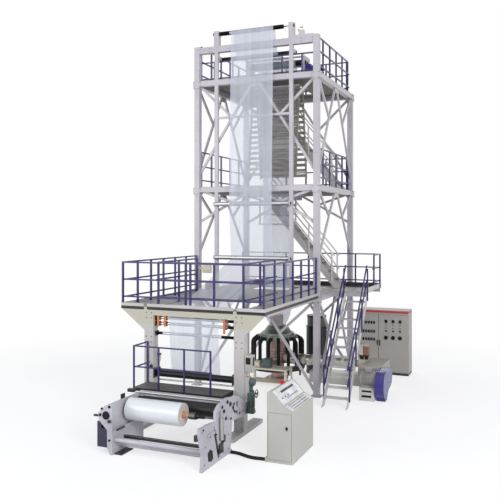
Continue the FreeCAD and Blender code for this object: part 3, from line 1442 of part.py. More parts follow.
# Bearing housings on the inner faces carry the roll's shaft and the contact drum.
HOUSINGS = (("-winder_left_in - housing_thick + weld_gap", "-winder_left_in"),
            ("winder_right_in - housing_thick", "winder_right_in - weld_gap"))
housings = []
for y, z in (("-roll_y", "roll_z"), ("-drum_y", "drum_z")):
    for span in HOUSINGS:
        body = block(span, (f"{y} - housing_side / 2", f"{y} + housing_side / 2"),
                     (f"{z} - housing_side / 2", f"{z} + housing_side / 2"))
        housings.append(cut(body, bore("x", "shaft_radius", span, y, z)))
node("winder_bearings", *housings)
JOURNALS = (f"{HOUSINGS[0][0]} + roller_gap", f"{HOUSINGS[1][1]} - roller_gap")
node("contact_drum", fuse(
    rod("x", "drum_radius", (f"{HOUSINGS[0][1]} + roller_gap", f"{HOUSINGS[1][0]} - roller_gap"), "-drum_y",
        "drum_z"),
    flat_rod("x", "shaft_radius", JOURNALS, "-drum_y", "drum_z"),
))
node("film_roll", fuse(
    rod("x", "roll_radius", ("-roll_left", "roll_right"), "-roll_y", "roll_z"),
    rod("x", "core_radius", ("-roll_left - core_left", "roll_right + core_right"), "-roll_y", "roll_z"),
    flat_rod("x", "chuck_radius", ("roll_right + core_right - weld_gap",
                                   "roll_right + core_right + chuck_long"), "-roll_y", "roll_z"),
    flat_rod("x", "shaft_radius", JOURNALS, "-roll_y", "roll_z"),
))
COVER_Y = ("-cover_front", "-cover_back")
node("winder_cover", fuse(
    block(("-cover_left", "-winder_left_out - weld_gap"), COVER_Y, ("cover_low", "cover_high")),
    block(("-cover_left", "-leg_out - weld_gap"), COVER_Y, ("cover_low", "cover_step")),
))

# Operator's console with its two sloped panels, and the gland that its cable enters low on the left.
CABLE_POINTS = ((1600, -7010), (1730, -7010), (1860, -7055), (1985, -7115), (2110, -7150), (2225, -7155),
                (2325, -7140),
                (2415, -7140))
console_outline = (("console_left", "0"), ("console_right", "0"), ("console_right", "console_low"),
                   ("console_step_x", "console_step"), ("console_peak_x", "console_peak"),
                   ("console_left", "console_high"))
console_gland = block(("console_left - gland_long", "console_left"),
                      (f"{CABLE_POINTS[-1][1]} - gland_side / 2", f"{CABLE_POINTS[-1][1]} + gland_side / 2"),
                      ("weld_gap", "gland_side"))
node("console", fuse(plate("XZ_Plane", console_outline, "console_front - console_back", "-console_back"),
                     console_gland))


CABLE_SIDES = 12


def tube_along(points, radius):
    """A tube along straight runs joined by arcs; each arc fits within 0.45 of the shorter run beside it."""
    edges = []
    start = points[0]
    for before, corner, after in zip(points, points[1:], points[2:]):
        back = (before - corner).normalize()
        onward = (after - corner).normalize()
        shorter = min((before - corner).Length, (after - corner).Length)
        reach = 0.45 * shorter
        turn = math.pi - back.getAngle(onward)
        bend = reach / math.tan(turn / 2)
        bisector = (back + onward).normalize()
        middle = corner + bisector * (bend / math.cos(turn / 2) - bend)
        edges.append(Part.LineSegment(start, corner + back * reach).toShape())
        edges.append(Part.Arc(corner + back * reach, middle, corner + onward * reach).toShape())
        start = corner + onward * reach
        print("cable bend radius", round(bend), "mm at turn", round(math.degrees(turn), 1))
    edges.append(Part.LineSegment(start, points[-1]).toShape())
    path = Part.Wire(edges)
    direction = (points[1] - points[0]).normalize()
    side = direction.cross(FreeCAD.Vector(0, 0, 1))
    turns = [2 * math.pi * index / CABLE_SIDES for index in range(CABLE_SIDES)]
    corners = [points[0] + side * (radius * math.cos(turn)) + FreeCAD.Vector(0, 0, radius * math.sin(turn))
               for turn in turns]
    section = Part.makePolygon([*corners, corners[0]])
    tube = path.makePipeShell([section], True, False)
    print("cable", round(path.Length), "mm long, volume share",
          round(tube.Volume / (Part.Face(section).Area * path.Length), 4))
    return tube


cable = doc.addObject("Part::Feature", "cable")
cable.Shape = tube_along([FreeCAD.Vector(x, y, value("cable_lift")) for x, y in CABLE_POINTS],
                         value("cable_radius"))
node("console_cable", cable)


# Control cabinets: hollow shells on plinths under one header, each with a door on a pivot at its outer edge.
def cabinet(x_span):
    """A shell open at the front, with its plinth and header."""
    depth = ("cabinet_front", "cabinet_front + cabinet_deep")
    inner = (f"{x_span[0]} + cabinet_wall", f"{x_span[1]} - cabinet_wall")
    shell = block(x_span, depth, ("0", "cabinet_high"))
    hollow = block(inner, ("cabinet_front - cabinet_wall", "cabinet_front + cabinet_deep - cabinet_wall"),
                   ("cabinet_plinth", "cabinet_high - cabinet_header"))
    lip = ("cabinet_front - door_gap - door_thick", "cabinet_front")
    shell = cut(shell, hollow)
    return fuse(shell, block(x_span, lip, ("0", "cabinet_plinth")),
                block(x_span, lip, ("cabinet_high - cabinet_header", "cabinet_high")))


LEFT_BAY = ("cabinet_left", "cabinet_split - weld_gap / 2")
RIGHT_BAY = ("cabinet_split + weld_gap / 2", "cabinet_right")
door_middle = "cabinet_front - door_gap - door_thick / 2"
pivots = {"left": "cabinet_left + cabinet_gap + pivot_tail",
          "right": "cabinet_right - cabinet_gap - pivot_tail"}
door_low = "cabinet_plinth + cabinet_gap"
door_high = "cabinet_high - cabinet_header - cabinet_gap"
shells = []
for name, bay in (("left", LEFT_BAY), ("right", RIGHT_BAY)):
    pins = [rod("z", "pivot_radius", ("cabinet_plinth - pivot_root", f"{door_low} + pivot_deep - pivot_end"),
                pivots[name], door_middle),
            rod("z", "pivot_radius",
                (f"{door_high} - pivot_deep + pivot_end", "cabinet_high - cabinet_header + pivot_root"),
                pivots[name], door_middle)]
    shells.append(fuse(cabinet(bay), *pins))
    leaf = block((f"{bay[0]} + cabinet_gap", f"{bay[1]} - cabinet_gap"),
                 ("cabinet_front - door_gap - door_thick", "cabinet_front - door_gap"),
                 (door_low, door_high))
    sockets = [bore("z", "pivot_radius", (door_low, f"{door_low} + pivot_deep"), pivots[name], door_middle),
               bore("z", "pivot_radius", (f"{door_high} - pivot_deep", door_high), pivots[name],
                    door_middle)]
    node(f"{name}_cabinet_door", cut(leaf, *sockets))
node("cabinets", *shells)

doc.recompute()
faults = [item.Name for item in doc.Objects if "Invalid" in item.State or "Error" in item.State]
faults += [item.Label for item in nodes if item.Shape.isNull() or not item.Shape.isValid()]
if faults:
    raise RuntimeError(f"failed: {faults}")

os.makedirs("parts", exist_ok=True)
for item in nodes:
    item.Shape.exportStep(os.path.join("parts", f"{item.Label}.step"))
    print(item.Label, len(item.Shape.Solids), "solids", round(item.Shape.Volume / 1e9, 4), "m3")
print(len(nodes), "nodes,", len(doc.Objects), "objects")
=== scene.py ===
# %% [markdown]
# # A blown film line, dressed for its picture
#
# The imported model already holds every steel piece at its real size. This notebook gives each surface the
# finish that the real machine shows, and adds what is too fine or too soft for the CAD: thin film with its
# creases, corrugated hoses, bolts, chequered plate, meters and buttons. All lengths are metres, in the
# model's own frame: the origin is on the floor under the die, X runs along the rollers, Y runs from the
# winder to the back of the tower, and Z is up.

# %% Load the frame
import math

import bmesh
import bpy
import numpy as np
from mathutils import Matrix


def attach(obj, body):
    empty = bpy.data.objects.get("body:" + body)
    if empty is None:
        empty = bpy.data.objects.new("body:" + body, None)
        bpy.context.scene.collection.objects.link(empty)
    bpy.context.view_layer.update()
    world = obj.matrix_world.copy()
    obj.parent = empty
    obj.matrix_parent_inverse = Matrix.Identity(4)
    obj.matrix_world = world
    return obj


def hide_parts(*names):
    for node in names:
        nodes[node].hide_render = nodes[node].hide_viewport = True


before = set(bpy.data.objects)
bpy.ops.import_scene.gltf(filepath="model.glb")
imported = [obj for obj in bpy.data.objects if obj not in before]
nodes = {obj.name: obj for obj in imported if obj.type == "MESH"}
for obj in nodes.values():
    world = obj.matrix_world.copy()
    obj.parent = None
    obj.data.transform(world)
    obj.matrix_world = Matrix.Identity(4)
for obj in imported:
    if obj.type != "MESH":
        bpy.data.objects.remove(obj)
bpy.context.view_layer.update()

# %% [markdown]
# ## Camera
#
# The camera stands where the photographer stood: to the right of the winder, about level with the guard
# rails of the first platform, looking level. A shift lens keeps the columns upright, so the camera is not
# tilted.

# %% Camera
IMAGE_SIDE = 500
CAMERA_AT = (7.354, -19.698, 4.648)
CAMERA_YAW = math.radians(22.7955)
FOCAL_PIXELS = 681.1
HORIZON_ROW = 226.42
SENSOR = 36.0

camera_data = bpy.data.cameras.new("photo_camera")
camera = bpy.data.objects.new("photo_camera", camera_data)
bpy.context.scene.collection.objects.link(camera)
camera.location = CAMERA_AT
camera.rotation_euler = (math.pi / 2, 0, CAMERA_YAW)
camera_data.sensor_width = SENSOR
camera_data.lens = SENSOR * FOCAL_PIXELS / IMAGE_SIDE
camera_data.shift_y = (HORIZON_ROW - IMAGE_SIDE / 2) / IMAGE_SIDE
camera_data.clip_end = 200
bpy.context.scene.camera = camera
bpy.context.scene.view_settings.view_transform = "Standard"
print("lens", round(camera_data.lens, 2), "mm, shift", round(camera_data.shift_y, 4))

# %% [markdown]
# ## Helpers for node trees
#
# Every material is a small tree of shader nodes. A few helpers keep the trees readable: one adds a node and
# fills its sockets, one makes a step of maths, one mixes two colours, one maps a span of values to another,
# and one starts a material with its Principled shader.

# %% Node helpers
def add(tree, kind, sockets=None, **settings):
    """Add a node, set its properties and fill its sockets, by name or number, with values or outputs."""
    made = tree.nodes.new(kind)
    for key, value in settings.items():
        setattr(made, key, value)
    for key, value in (sockets or {}).items():
        if isinstance(value, bpy.types.NodeSocket):
            tree.links.new(value, made.inputs[key])
        else:
            made.inputs[key].default_value = value
    return made


def maths(tree, operation, *values, clamp=False):
    """The output of one Math node over numbers or sockets."""
    return add(tree, "ShaderNodeMath", dict(enumerate(values)), operation=operation,
               use_clamp=clamp).outputs[0]


def mixed(tree, share, first, second):
    """A colour between two colours."""
    return add(tree, "ShaderNodeMix", {0: share, 6: first, 7: second}, data_type="RGBA").outputs[2]


def stretch(tree, value, low, high, to_low=0.0, to_high=1.0):
    """Map a value from one span to another, held at the ends."""
    return add(tree, "ShaderNodeMapRange", {0: value, 1: low, 2: high, 3: to_low, 4: to_high}).outputs[0]


def noise(tree, place, scale, detail=3.0, roughness=0.5):
    """The value of a noise texture."""
    sockets = {"Vector": place, "Scale": scale, "Detail": detail, "Roughness": roughness}
    return add(tree, "ShaderNodeTexNoise", sockets).outputs[0]


def scaled(tree, place, factors):
    """Coordinates stretched by a factor on each axis."""
    return add(tree, "ShaderNodeVectorMath", {0: place, 1: factors}, operation="MULTIPLY").outputs[0]


def axes(tree, vector):
    """The three parts of a vector."""
    return add(tree, "ShaderNodeSeparateXYZ", {0: vector}).outputs


def between(tree, value, low, high):
    """One where a value lies between two limits, else nought."""
    return maths(tree, "MULTIPLY", maths(tree, "GREATER_THAN", value, low),
                 maths(tree, "LESS_THAN", value, high))


def object_place(tree):
    """The piece's own coordinates, which are metres in the model's frame."""
    return add(tree, "ShaderNodeTexCoord").outputs["Object"]


def material(name, **constants):
    """A material with a Principled shader; constants are set on its own sockets."""
    made = bpy.data.materials.new(name)
    made.use_nodes = True
    shader = made.node_tree.nodes["Principled BSDF"]
    for key, value in constants.items():
        shader.inputs[key.replace("_", " ")].default_value = value
    return made, made.node_tree, shader


def linear(red, green, blue):
    """A screen colour, 0 to 255, as the linear colour that a shader takes."""
    return tuple(((c / 255 + 0.055) / 1.055) ** 2.4 if c > 10 else c / 255 / 12.92
                 for c in (red, green, blue)) + (1.0,)


# %% [markdown]
# ## Floor, sky and lamps
#
# The photo shows the machine on white, with soft shadows at its feet. A white floor under strong light would
# wash out the machine, so the floor is white by its own colour instead: the camera and glossy rays see a
# pale glow plus a little of the light that falls on it, which keeps the shadows, and the glow takes over
# far out so that floor and sky meet without a line. Every other ray meets plain pale paint.

# %% Floor and sky
floor_mesh = bpy.data.meshes.new("studio_floor")
HALF_FLOOR = 90
floor_mesh.from_pydata([(-HALF_FLOOR, -HALF_FLOOR, 0), (HALF_FLOOR, -HALF_FLOOR, 0),
                        (HALF_FLOOR, HALF_FLOOR, 0),
                        (-HALF_FLOOR, HALF_FLOOR, 0)], [], [(0, 1, 2, 3)])
floor = bpy.data.objects.new("studio_floor", floor_mesh)
bpy.context.scene.collection.objects.link(floor)


def seen_directly(tree):
    """One for camera, glossy and transmission rays, else nought."""
    path = add(tree, "ShaderNodeLightPath").outputs
    direct = maths(tree, "MAXIMUM", path["Is Camera Ray"], path["Is Glossy Ray"])
    return maths(tree, "MAXIMUM", direct, path["Is Transmission Ray"])


floor_look, floor_tree, floor_shader = material("studio_floor", Base_Color=(0.72, 0.72, 0.73, 1),
                                                Roughness=0.6)
floor_look_at = axes(floor_tree, object_place(floor_tree))
from_middle = maths(floor_tree, "SQRT",
                    maths(floor_tree, "ADD", maths(floor_tree, "POWER", floor_look_at[0], 2.0),
                    maths(floor_tree, "POWER", maths(floor_tree, "ADD", floor_look_at[1], 3.0), 2.0)))
far = stretch(floor_tree, from_middle, 7.0, 13.0)
catch = add(floor_tree, "ShaderNodeBsdfDiffuse", {0: (0.42, 0.42, 0.43, 1)})
glow = add(floor_tree, "ShaderNodeEmission", {0: (1, 1, 1, 1), 1: 0.66})
lit = add(floor_tree, "ShaderNodeAddShader", {0: catch.outputs[0], 1: glow.outputs[0]})
white = add(floor_tree, "ShaderNodeEmission", {0: (1, 1, 1, 1), 1: 1.0})
shown = add(floor_tree, "ShaderNodeMixShader", {0: far, 1: lit.outputs[0], 2: white.outputs[0]})
ground = add(floor_tree, "ShaderNodeMixShader", {0: seen_directly(floor_tree), 1: floor_shader.outputs[0],
                                                 2: shown.outputs[0]})
floor_tree.links.new(ground.outputs[0], floor_tree.nodes["Material Output"].inputs[0])
floor.data.materials.append(floor_look)

world = bpy.data.worlds.new("studio")
bpy.context.scene.world = world
world.use_nodes = True
sky_tree = world.node_tree
sky = sky_tree.nodes["Background"]
sky.inputs[0].default_value = (0.94, 0.96, 1.0, 1)
sky.inputs[1].default_value = 0.50
white_sky = add(sky_tree, "ShaderNodeBackground", {0: (1, 1, 1, 1), 1: 1.0})
both = add(sky_tree, "ShaderNodeMixShader",
           {0: seen_directly(sky_tree), 1: sky.outputs[0], 2: white_sky.outputs[0]})
sky_tree.links.new(both.outputs[0], sky_tree.nodes["World Output"].inputs[0])


# %% Lamps
def soft_lamp(name, at, towards, side, watts):
    """A square lamp that faces a point."""
    data = bpy.data.lights.new(name, "AREA")
    data.shape = "SQUARE"
    data.size = side
    data.energy = watts
    lamp = bpy.data.objects.new(name, data)
    bpy.context.scene.collection.objects.link(lamp)
    lamp.location = at
    away = np.array(at, float) - np.array(towards, float)
    lamp.rotation_euler = (math.atan2(math.hypot(away[0], away[1]), away[2]), 0,
                           math.atan2(away[1], away[0]) + math.pi / 2)
    return lamp


MIDDLE = (0.0, -2.5, 4.5)
soft_lamp("key", (20, -20, 11), MIDDLE, 10, 3000)
soft_lamp("fill", (-12, -22, 9), MIDDLE, 10, 1350)
soft_lamp("back", (-4, 17, 12), MIDDLE, 8, 600)
print("3 lamps and a pale sky")

# %% [markdown]
# ## Effects that several finishes share
#
# Enamelled steel is never one flat colour: its edges chip and catch light, and dust settles on what faces
# up. Each effect is a node group, built once and placed in each material with its own strengths. Edges come
# from the Bevel node: where its rounded normal leaves the true one, the surface is near an edge.

# %% A place to build groups
FLOAT = "NodeSocketFloat"


def new_group(name, inputs, outputs):
    """A shader node group: inputs are (name, value), outputs are names; all are numbers."""
    tree = bpy.data.node_groups.new(name, "ShaderNodeTree")
    for label, value in inputs:
        tree.interface.new_socket(label, in_out="INPUT", socket_type=FLOAT).default_value = value
    for label in outputs:
        tree.interface.new_socket(label, in_out="OUTPUT", socket_type=FLOAT)
    return tree, tree.nodes.new("NodeGroupInput").outputs, tree.nodes.new("NodeGroupOutput").inputs


# %% Edge wear
wear_group, given, out = new_group("edge_wear", [("Width", 0.006), ("Amount", 0.5), ("Scale", 9.0)], ["Mask"])
rounded = add(wear_group, "ShaderNodeBevel", {"Radius": given["Width"]}, samples=4).outputs[0]
true_normal = add(wear_group, "ShaderNodeNewGeometry").outputs["Normal"]
agree = add(wear_group, "ShaderNodeVectorMath", {0: rounded, 1: true_normal},
            operation="DOT_PRODUCT").outputs["Value"]
edge = stretch(wear_group, agree, 1.0, 0.86)
chips = stretch(wear_group, noise(wear_group, object_place(wear_group), given["Scale"], 5.0, 0.65), 0.46,
                0.62)
worn = maths(wear_group, "MULTIPLY", edge, chips)
wear_group.links.new(maths(wear_group, "MULTIPLY", worn, given["Amount"], clamp=True), out["Mask"])

# %% Dust on what faces up, and streaks near the floor
dust_group, given, out = new_group("dust", [("Amount", 0.3), ("Floor", 0.5)], ["Mask", "Ripple"])
place = object_place(dust_group)
facing = axes(dust_group, add(dust_group, "ShaderNodeNewGeometry").outputs["Normal"])[2]
up = stretch(dust_group, facing, 0.3, 1.0)
low = maths(dust_group, "MULTIPLY", stretch(dust_group, axes(dust_group, place)[2], 1.1, 0.0), given["Floor"])
cloud = stretch(dust_group, noise(dust_group, place, 2.3, 6.0, 0.6), 0.35, 0.75)
lies = maths(dust_group, "MULTIPLY", maths(dust_group, "MAXIMUM", up, low), cloud)
dust_group.links.new(maths(dust_group, "MULTIPLY", lies, given["Amount"], clamp=True), out["Mask"])
dust_group.links.new(noise(dust_group, place, 160.0, 2.0), out["Ripple"])

# %% [markdown]
# Chequered plate has raised lozenges that lie crosswise by turns. In a square cell with its middle at
# nought, a lozenge is where (1.5 long)² + (4.6 short)² is less than 1; long and short are the two diagonals,
# and they swap places from each cell to the next.

# %% Chequered plate
chequer_group, given, out = new_group("chequer", [("Cells", 18.0)], ["Height"])
parts = axes(chequer_group, object_place(chequer_group))
cell = []
number = []
for side in (0, 1):
    counted = maths(chequer_group, "MULTIPLY", parts[side], given["Cells"])
    number.append(maths(chequer_group, "FLOOR", counted))
    cell.append(maths(chequer_group, "SUBTRACT", maths(chequer_group, "FRACT", counted), 0.5))
odd = maths(chequer_group, "FRACT",
            maths(chequer_group, "MULTIPLY", maths(chequer_group, "ADD", *number), 0.5))
swap = maths(chequer_group, "MULTIPLY", odd, 2.0)
first = maths(chequer_group, "ADD", *cell)
second = maths(chequer_group, "SUBTRACT", *cell)
apart = maths(chequer_group, "MULTIPLY", maths(chequer_group, "SUBTRACT", second, first), swap)
long_way = maths(chequer_group, "ADD", first, apart)
short_way = maths(chequer_group, "SUBTRACT", second, apart)
reach = maths(chequer_group, "ADD",
              maths(chequer_group, "POWER", maths(chequer_group, "MULTIPLY", long_way, 1.5), 2.0),
              maths(chequer_group, "POWER", maths(chequer_group, "MULTIPLY", short_way, 4.6), 2.0))
chequer_group.links.new(stretch(chequer_group, reach, 1.0, 0.5), out["Height"])
print("groups:", [group.name for group in bpy.data.node_groups])

# %% [markdown]
# ## Enamelled steel
#
# Most of the machine is sprayed steel: lilac-grey structure, violet rails, black edge channels, blue drive
# guards. One function makes them all, because only the colour, the gloss and the wear differ. The coat is a
# thin clear layer, the base drifts a little in tone from bar to bar, and worn edges show dull primer. Bands
# of another colour, such as a black plinth, are given as masks over the paint; the dark brown band at the
# back of the toe boards is painted shade, not a paint.


# %% Enamel
def enamel(name, colour, roughness=0.38, wear=0.35, dust=0.25, primer=(95, 92, 90), tone=0.05, coat=0.15,
           bands=()):
    """Sprayed paint on steel. bands are (axis, low, high, colour): another colour between two places; the
    back band of the toe boards is painted shade.
    """
    made, tree, shader = material(name, Coat_Roughness=0.25, Metallic=0.0, Coat_Weight=coat)
    place = object_place(tree)
    base = linear(*colour)
    deep = tuple(max(c * (1 - 2.2 * tone), 0.0) for c in base[:3]) + (1.0,)
    pale = tuple(min(c * (1 + 1.2 * tone), 1.0) for c in base[:3]) + (1.0,)
    paint = mixed(tree, stretch(tree, noise(tree, place, 1.4), 0.3, 0.7), deep, pale)
    for axis, low, high, other in bands:
        paint = mixed(tree, between(tree, axes(tree, place)["XYZ".index(axis)], low, high), paint,
                      linear(*other))
    edges = add(tree, "ShaderNodeGroup", {}, node_tree=wear_group)
    edges.inputs["Amount"].default_value = wear
    worn = mixed(tree, edges.outputs["Mask"], paint, linear(*primer))
    settled = add(tree, "ShaderNodeGroup", {}, node_tree=dust_group)
    settled.inputs["Amount"].default_value = dust
    tree.links.new(mixed(tree, settled.outputs["Mask"], worn, linear(150, 145, 138)),
                   shader.inputs["Base Color"])
    rough = maths(tree, "MULTIPLY_ADD", edges.outputs["Mask"], 0.25, roughness)
    rough = maths(tree, "MULTIPLY_ADD", settled.outputs["Mask"], 0.3, rough, clamp=True)
    tree.links.new(rough, shader.inputs["Roughness"])
    bump = add(tree, "ShaderNodeBump",
               {"Height": settled.outputs["Ripple"], "Strength": 0.06, "Distance": 0.002})
    tree.links.new(bump.outputs[0], shader.inputs["Normal"])
    return made


structure = enamel("structure", (197, 192, 200))
frame_paint = enamel("frame_paint", (202, 198, 197), bands=[("Z", 2.36, 2.76, (196, 192, 176))])
violet = enamel("rails", (48, 40, 104), roughness=0.32, wear=0.2, dust=0.15)
black = enamel("black_edge", (26, 25, 32), roughness=0.4, wear=0.25, dust=0.2)
blue = enamel("drive_blue", (52, 44, 138), roughness=0.3, wear=0.2)
# Toe boards: the dark brown band from Y 1.0 to 2.0 is painted shade, which darkens the back boards as shade
# does.
toe_paint_and_back_shade = enamel("toe_paint_and_back_shade", (200, 196, 194),
                   bands=[("Z", 2.60, 2.757, (18, 17, 20)), ("Y", 1.0, 2.0, (50, 38, 38))])
inner_steel = enamel("inner_stair_steel", (196, 192, 190), bands=[("Y", 0.640, 1.190, (58, 55, 56))])
navy = enamel("navy_cover", (30, 32, 70), roughness=0.35, wear=0.25)
cream = enamel("cream_paint", (226, 219, 198), roughness=0.42)
extruder_paint = enamel("extruder_paint", (214, 207, 188), roughness=0.42,
                        bands=[("X", 2.87, 3.5, (164, 158, 150))])
motor_grey = enamel("motor_grey", (168, 168, 166), roughness=0.45)
base_white = enamel("base_white", (222, 220, 214), roughness=0.4)
console_grey = enamel("console_grey", (188, 188, 182), roughness=0.45, wear=0.15, dust=0.15, tone=0.02)
blower_dark = enamel("blower_dark", (30, 33, 38), roughness=0.4, bands=[("Z", 1.49, 1.77, (92, 92, 90))])
cabinet_grey = enamel("cabinet_grey", (176, 173, 168), roughness=0.5, wear=0.15, dust=0.15, tone=0.02,
                      bands=[("Z", -1.0, 0.075, (22, 22, 24)), ("Z", 1.93, 2.0, (196, 62, 72))])
door_grey = enamel("door_grey", (180, 177, 172), roughness=0.5, wear=0.15, dust=0.1, tone=0.02)
winder_paint = enamel("winder_paint", (198, 196, 206), roughness=0.42, wear=0.6, tone=0.09)
treads = enamel("stair_steel", (208, 206, 206), wear=0.5, dust=0.3)
brown = enamel("brown_box", (112, 84, 66), roughness=0.5)
hopper_paint = enamel("hopper_paint", (214, 212, 204), roughness=0.4,
                      bands=[("X", 2.71, 3.0, (150, 104, 78)), ("Z", 0.0, 0.90, (24, 24, 26))])
lamp_green = enamel("green_grey", (74, 92, 92), roughness=0.5)
print("enamels made")

# %% [markdown]
# ## Bare metal and rubber
#
# A guide roller is turned and plated: a bright metal with very fine rings round it, so its highlight is a
# crisp streak along its length. The nip rollers and the contact drum are rubber. Collars on the idlers are
# copper-coloured, and the ends of the lower idler are black; both are bands along X.


# %% Metal
def metal(name, colour, roughness, grain, strength=0.12, bands=(), stain=0.0, stain_colour=(90, 70, 60)):
    """Machined metal. grain is how fine its marks are on each axis; bands are (low, high, colour) on X."""
    made, tree, shader = material(name, Metallic=1.0)
    place = object_place(tree)
    marks = noise(tree, scaled(tree, place, grain), 1.0, 4.0, 0.6)
    base = linear(*colour)
    tint = mixed(tree, marks, tuple(c * 0.86 for c in base[:3]) + (1.0,), base)
    across = axes(tree, place)[0]
    for low, high, other in bands:
        tint = mixed(tree, between(tree, across, low, high), tint, linear(*other))
    spots = stretch(tree, noise(tree, place, 6.0, 5.0, 0.7), 0.52, 0.7)
    tint = mixed(tree, maths(tree, "MULTIPLY", spots, stain), tint, linear(*stain_colour))
    tree.links.new(tint, shader.inputs["Base Color"])
    tree.links.new(stretch(tree, marks, 0.2, 0.8, roughness * 0.8, roughness * 1.3),
                   shader.inputs["Roughness"])
    bump = add(tree, "ShaderNodeBump", {"Height": marks, "Strength": strength, "Distance": 0.001})
    tree.links.new(bump.outputs[0], shader.inputs["Normal"])
    return made


ROUND_X = (260.0, 3.0, 3.0)
COPPER, DARK = (190, 120, 82), (22, 20, 22)
copper_bands = [(-0.90, -0.81, COPPER), (-0.70, -0.63, COPPER), (0.84, 0.90, COPPER), (0.93, 1.14, DARK)]
banded_roller = metal("banded_roller", (196, 194, 196), 0.32, ROUND_X, bands=copper_bands)
plain_roller = metal("plain_roller", (186, 187, 192), 0.32, ROUND_X)
dark_end_roller = metal("dark_end_roller", (198, 196, 196), 0.3, ROUND_X,
                        bands=[(-0.94, -0.74, DARK), (0.78, 1.14, DARK)])
die_steel = metal("die_steel", (176, 150, 146), 0.34, (3.0, 3.0, 240.0), stain=0.4,
                  stain_colour=(112, 76, 68))
ring_metal = metal("air_ring_metal", (150, 156, 150), 0.42, (30.0, 30.0, 90.0), stain=0.3,
                   stain_colour=(84, 88, 80))
sheet_metal = metal("sheet_metal", (190, 190, 188), 0.4, (40.0, 40.0, 40.0))
bolt_metal = metal("bolt_metal", (150, 148, 150), 0.38, (90.0, 90.0, 90.0), stain=0.35)
dark_steel = metal("dark_steel", (46, 44, 48), 0.42, (70.0, 70.0, 70.0), stain=0.2)
copper = metal("copper", (196, 128, 92), 0.34, (120.0, 120.0, 120.0))


# %% Rubber and moulded plastic
def soft_black(name, colour, roughness, ripple=60.0, strength=0.2, dust=0.25):
    """Rubber or moulded plastic: a dark matt base, a fine ripple, and dust where it faces up."""
    made, tree, shader = material(name, Metallic=0.0)
    shader.inputs["Specular IOR Level"].default_value = 0.3
    place = object_place(tree)
    cloudy = noise(tree, place, 5.0, 5.0, 0.6)
    base = linear(*colour)
    pale = tuple(min(c * 1.5 + 0.006, 1.0) for c in base[:3]) + (1.0,)
    tint = mixed(tree, stretch(tree, cloudy, 0.42, 0.7), base, pale)
    settled = add(tree, "ShaderNodeGroup", {}, node_tree=dust_group)
    settled.inputs["Amount"].default_value = dust
    tree.links.new(mixed(tree, settled.outputs["Mask"], tint, linear(128, 124, 120)),
                   shader.inputs["Base Color"])
    tree.links.new(stretch(tree, cloudy, 0.3, 0.7, roughness * 0.85, roughness * 1.2),
                   shader.inputs["Roughness"])
    bump = add(tree, "ShaderNodeBump",
               {"Height": noise(tree, place, ripple, 3.0), "Strength": strength, "Distance": 0.001})
    tree.links.new(bump.outputs[0], shader.inputs["Normal"])
    return made


roller_rubber = soft_black("roller_rubber", (15, 15, 18), 0.36, dust=0.08)
hose_rubber = soft_black("hose_rubber", (13, 13, 15), 0.6, strength=0.35, dust=0.1)
black_plastic = soft_black("black_plastic", (18, 18, 20), 0.3, ripple=200.0, strength=0.08, dust=0.1)
red_plastic = soft_black("red_plastic", (206, 30, 44), 0.3, ripple=200.0, strength=0.05, dust=0.05)
white_plastic = soft_black("white_plastic", (232, 233, 234), 0.35, ripple=200.0, strength=0.05, dust=0.05)
yellow_paint = soft_black("yellow_paint", (206, 180, 84), 0.4, ripple=120.0, strength=0.05, dust=0.1)
panel_foil = soft_black("panel_foil", (222, 222, 228), 0.35, ripple=200.0, strength=0.04, dust=0.05)

# %% [markdown]
# ## Film
#
# The web is thin polyethylene: bluish white, glossy, and clear enough that the tower shows through it. Light
# passes it by Alpha, which the export keeps. Along the web run soft streaks where the film is a little
# thicker or creased, so the alpha, the tone and a bump all follow a noise that is stretched along the
# film's own UV map: U is across the film and V is the length along it.


# %% Film
def film(name, colour, clear, streaks=(6.0, 0.12), roughness=0.32):
    """Thin translucent film with streaks along it; clear is the alpha of the thinnest streaks."""
    made, tree, shader = material(name, Metallic=0.0, IOR=1.45, Coat_Weight=0.06, Coat_Roughness=0.3)
    uv = add(tree, "ShaderNodeTexCoord").outputs["UV"]
    streaky = noise(tree, scaled(tree, uv, (streaks[0], streaks[1], 1.0)), 1.0, 4.0, 0.6)
    fine = noise(tree, scaled(tree, uv, (streaks[0] * 7, streaks[1] * 2, 1.0)), 1.0, 3.0, 0.5)
    base = linear(*colour)
    deep = tuple(c * 0.91 for c in base[:3]) + (1.0,)
    tree.links.new(mixed(tree, stretch(tree, streaky, 0.35, 0.65), deep, base), shader.inputs["Base Color"])
    alpha = maths(tree, "ADD", stretch(tree, streaky, 0.3, 0.7, clear, clear + 0.12),
                  stretch(tree, fine, 0.45, 0.8, 0.0, 0.06))
    tree.links.new(alpha, shader.inputs["Alpha"])
    tree.links.new(stretch(tree, fine, 0.3, 0.7, roughness, roughness * 1.8), shader.inputs["Roughness"])
    height = maths(tree, "ADD", streaky, maths(tree, "MULTIPLY", fine, 0.3))
    bump = add(tree, "ShaderNodeBump", {"Height": height, "Strength": 0.18, "Distance": 0.010})
    tree.links.new(bump.outputs[0], shader.inputs["Normal"])
    return made


web_look = film("web_film", (216, 223, 236), 0.52)
bubble_look = film("bubble_film", (216, 223, 236), 0.36, streaks=(5.0, 0.2))

# %% [markdown]
# The wound roll is one glossy white mass. Its ends show the edges of thousands of turns as faint rings, and
# the same solid carries the cardboard core and the dark chuck, so the colour follows the distance from the
# roll's axis and the place along X.

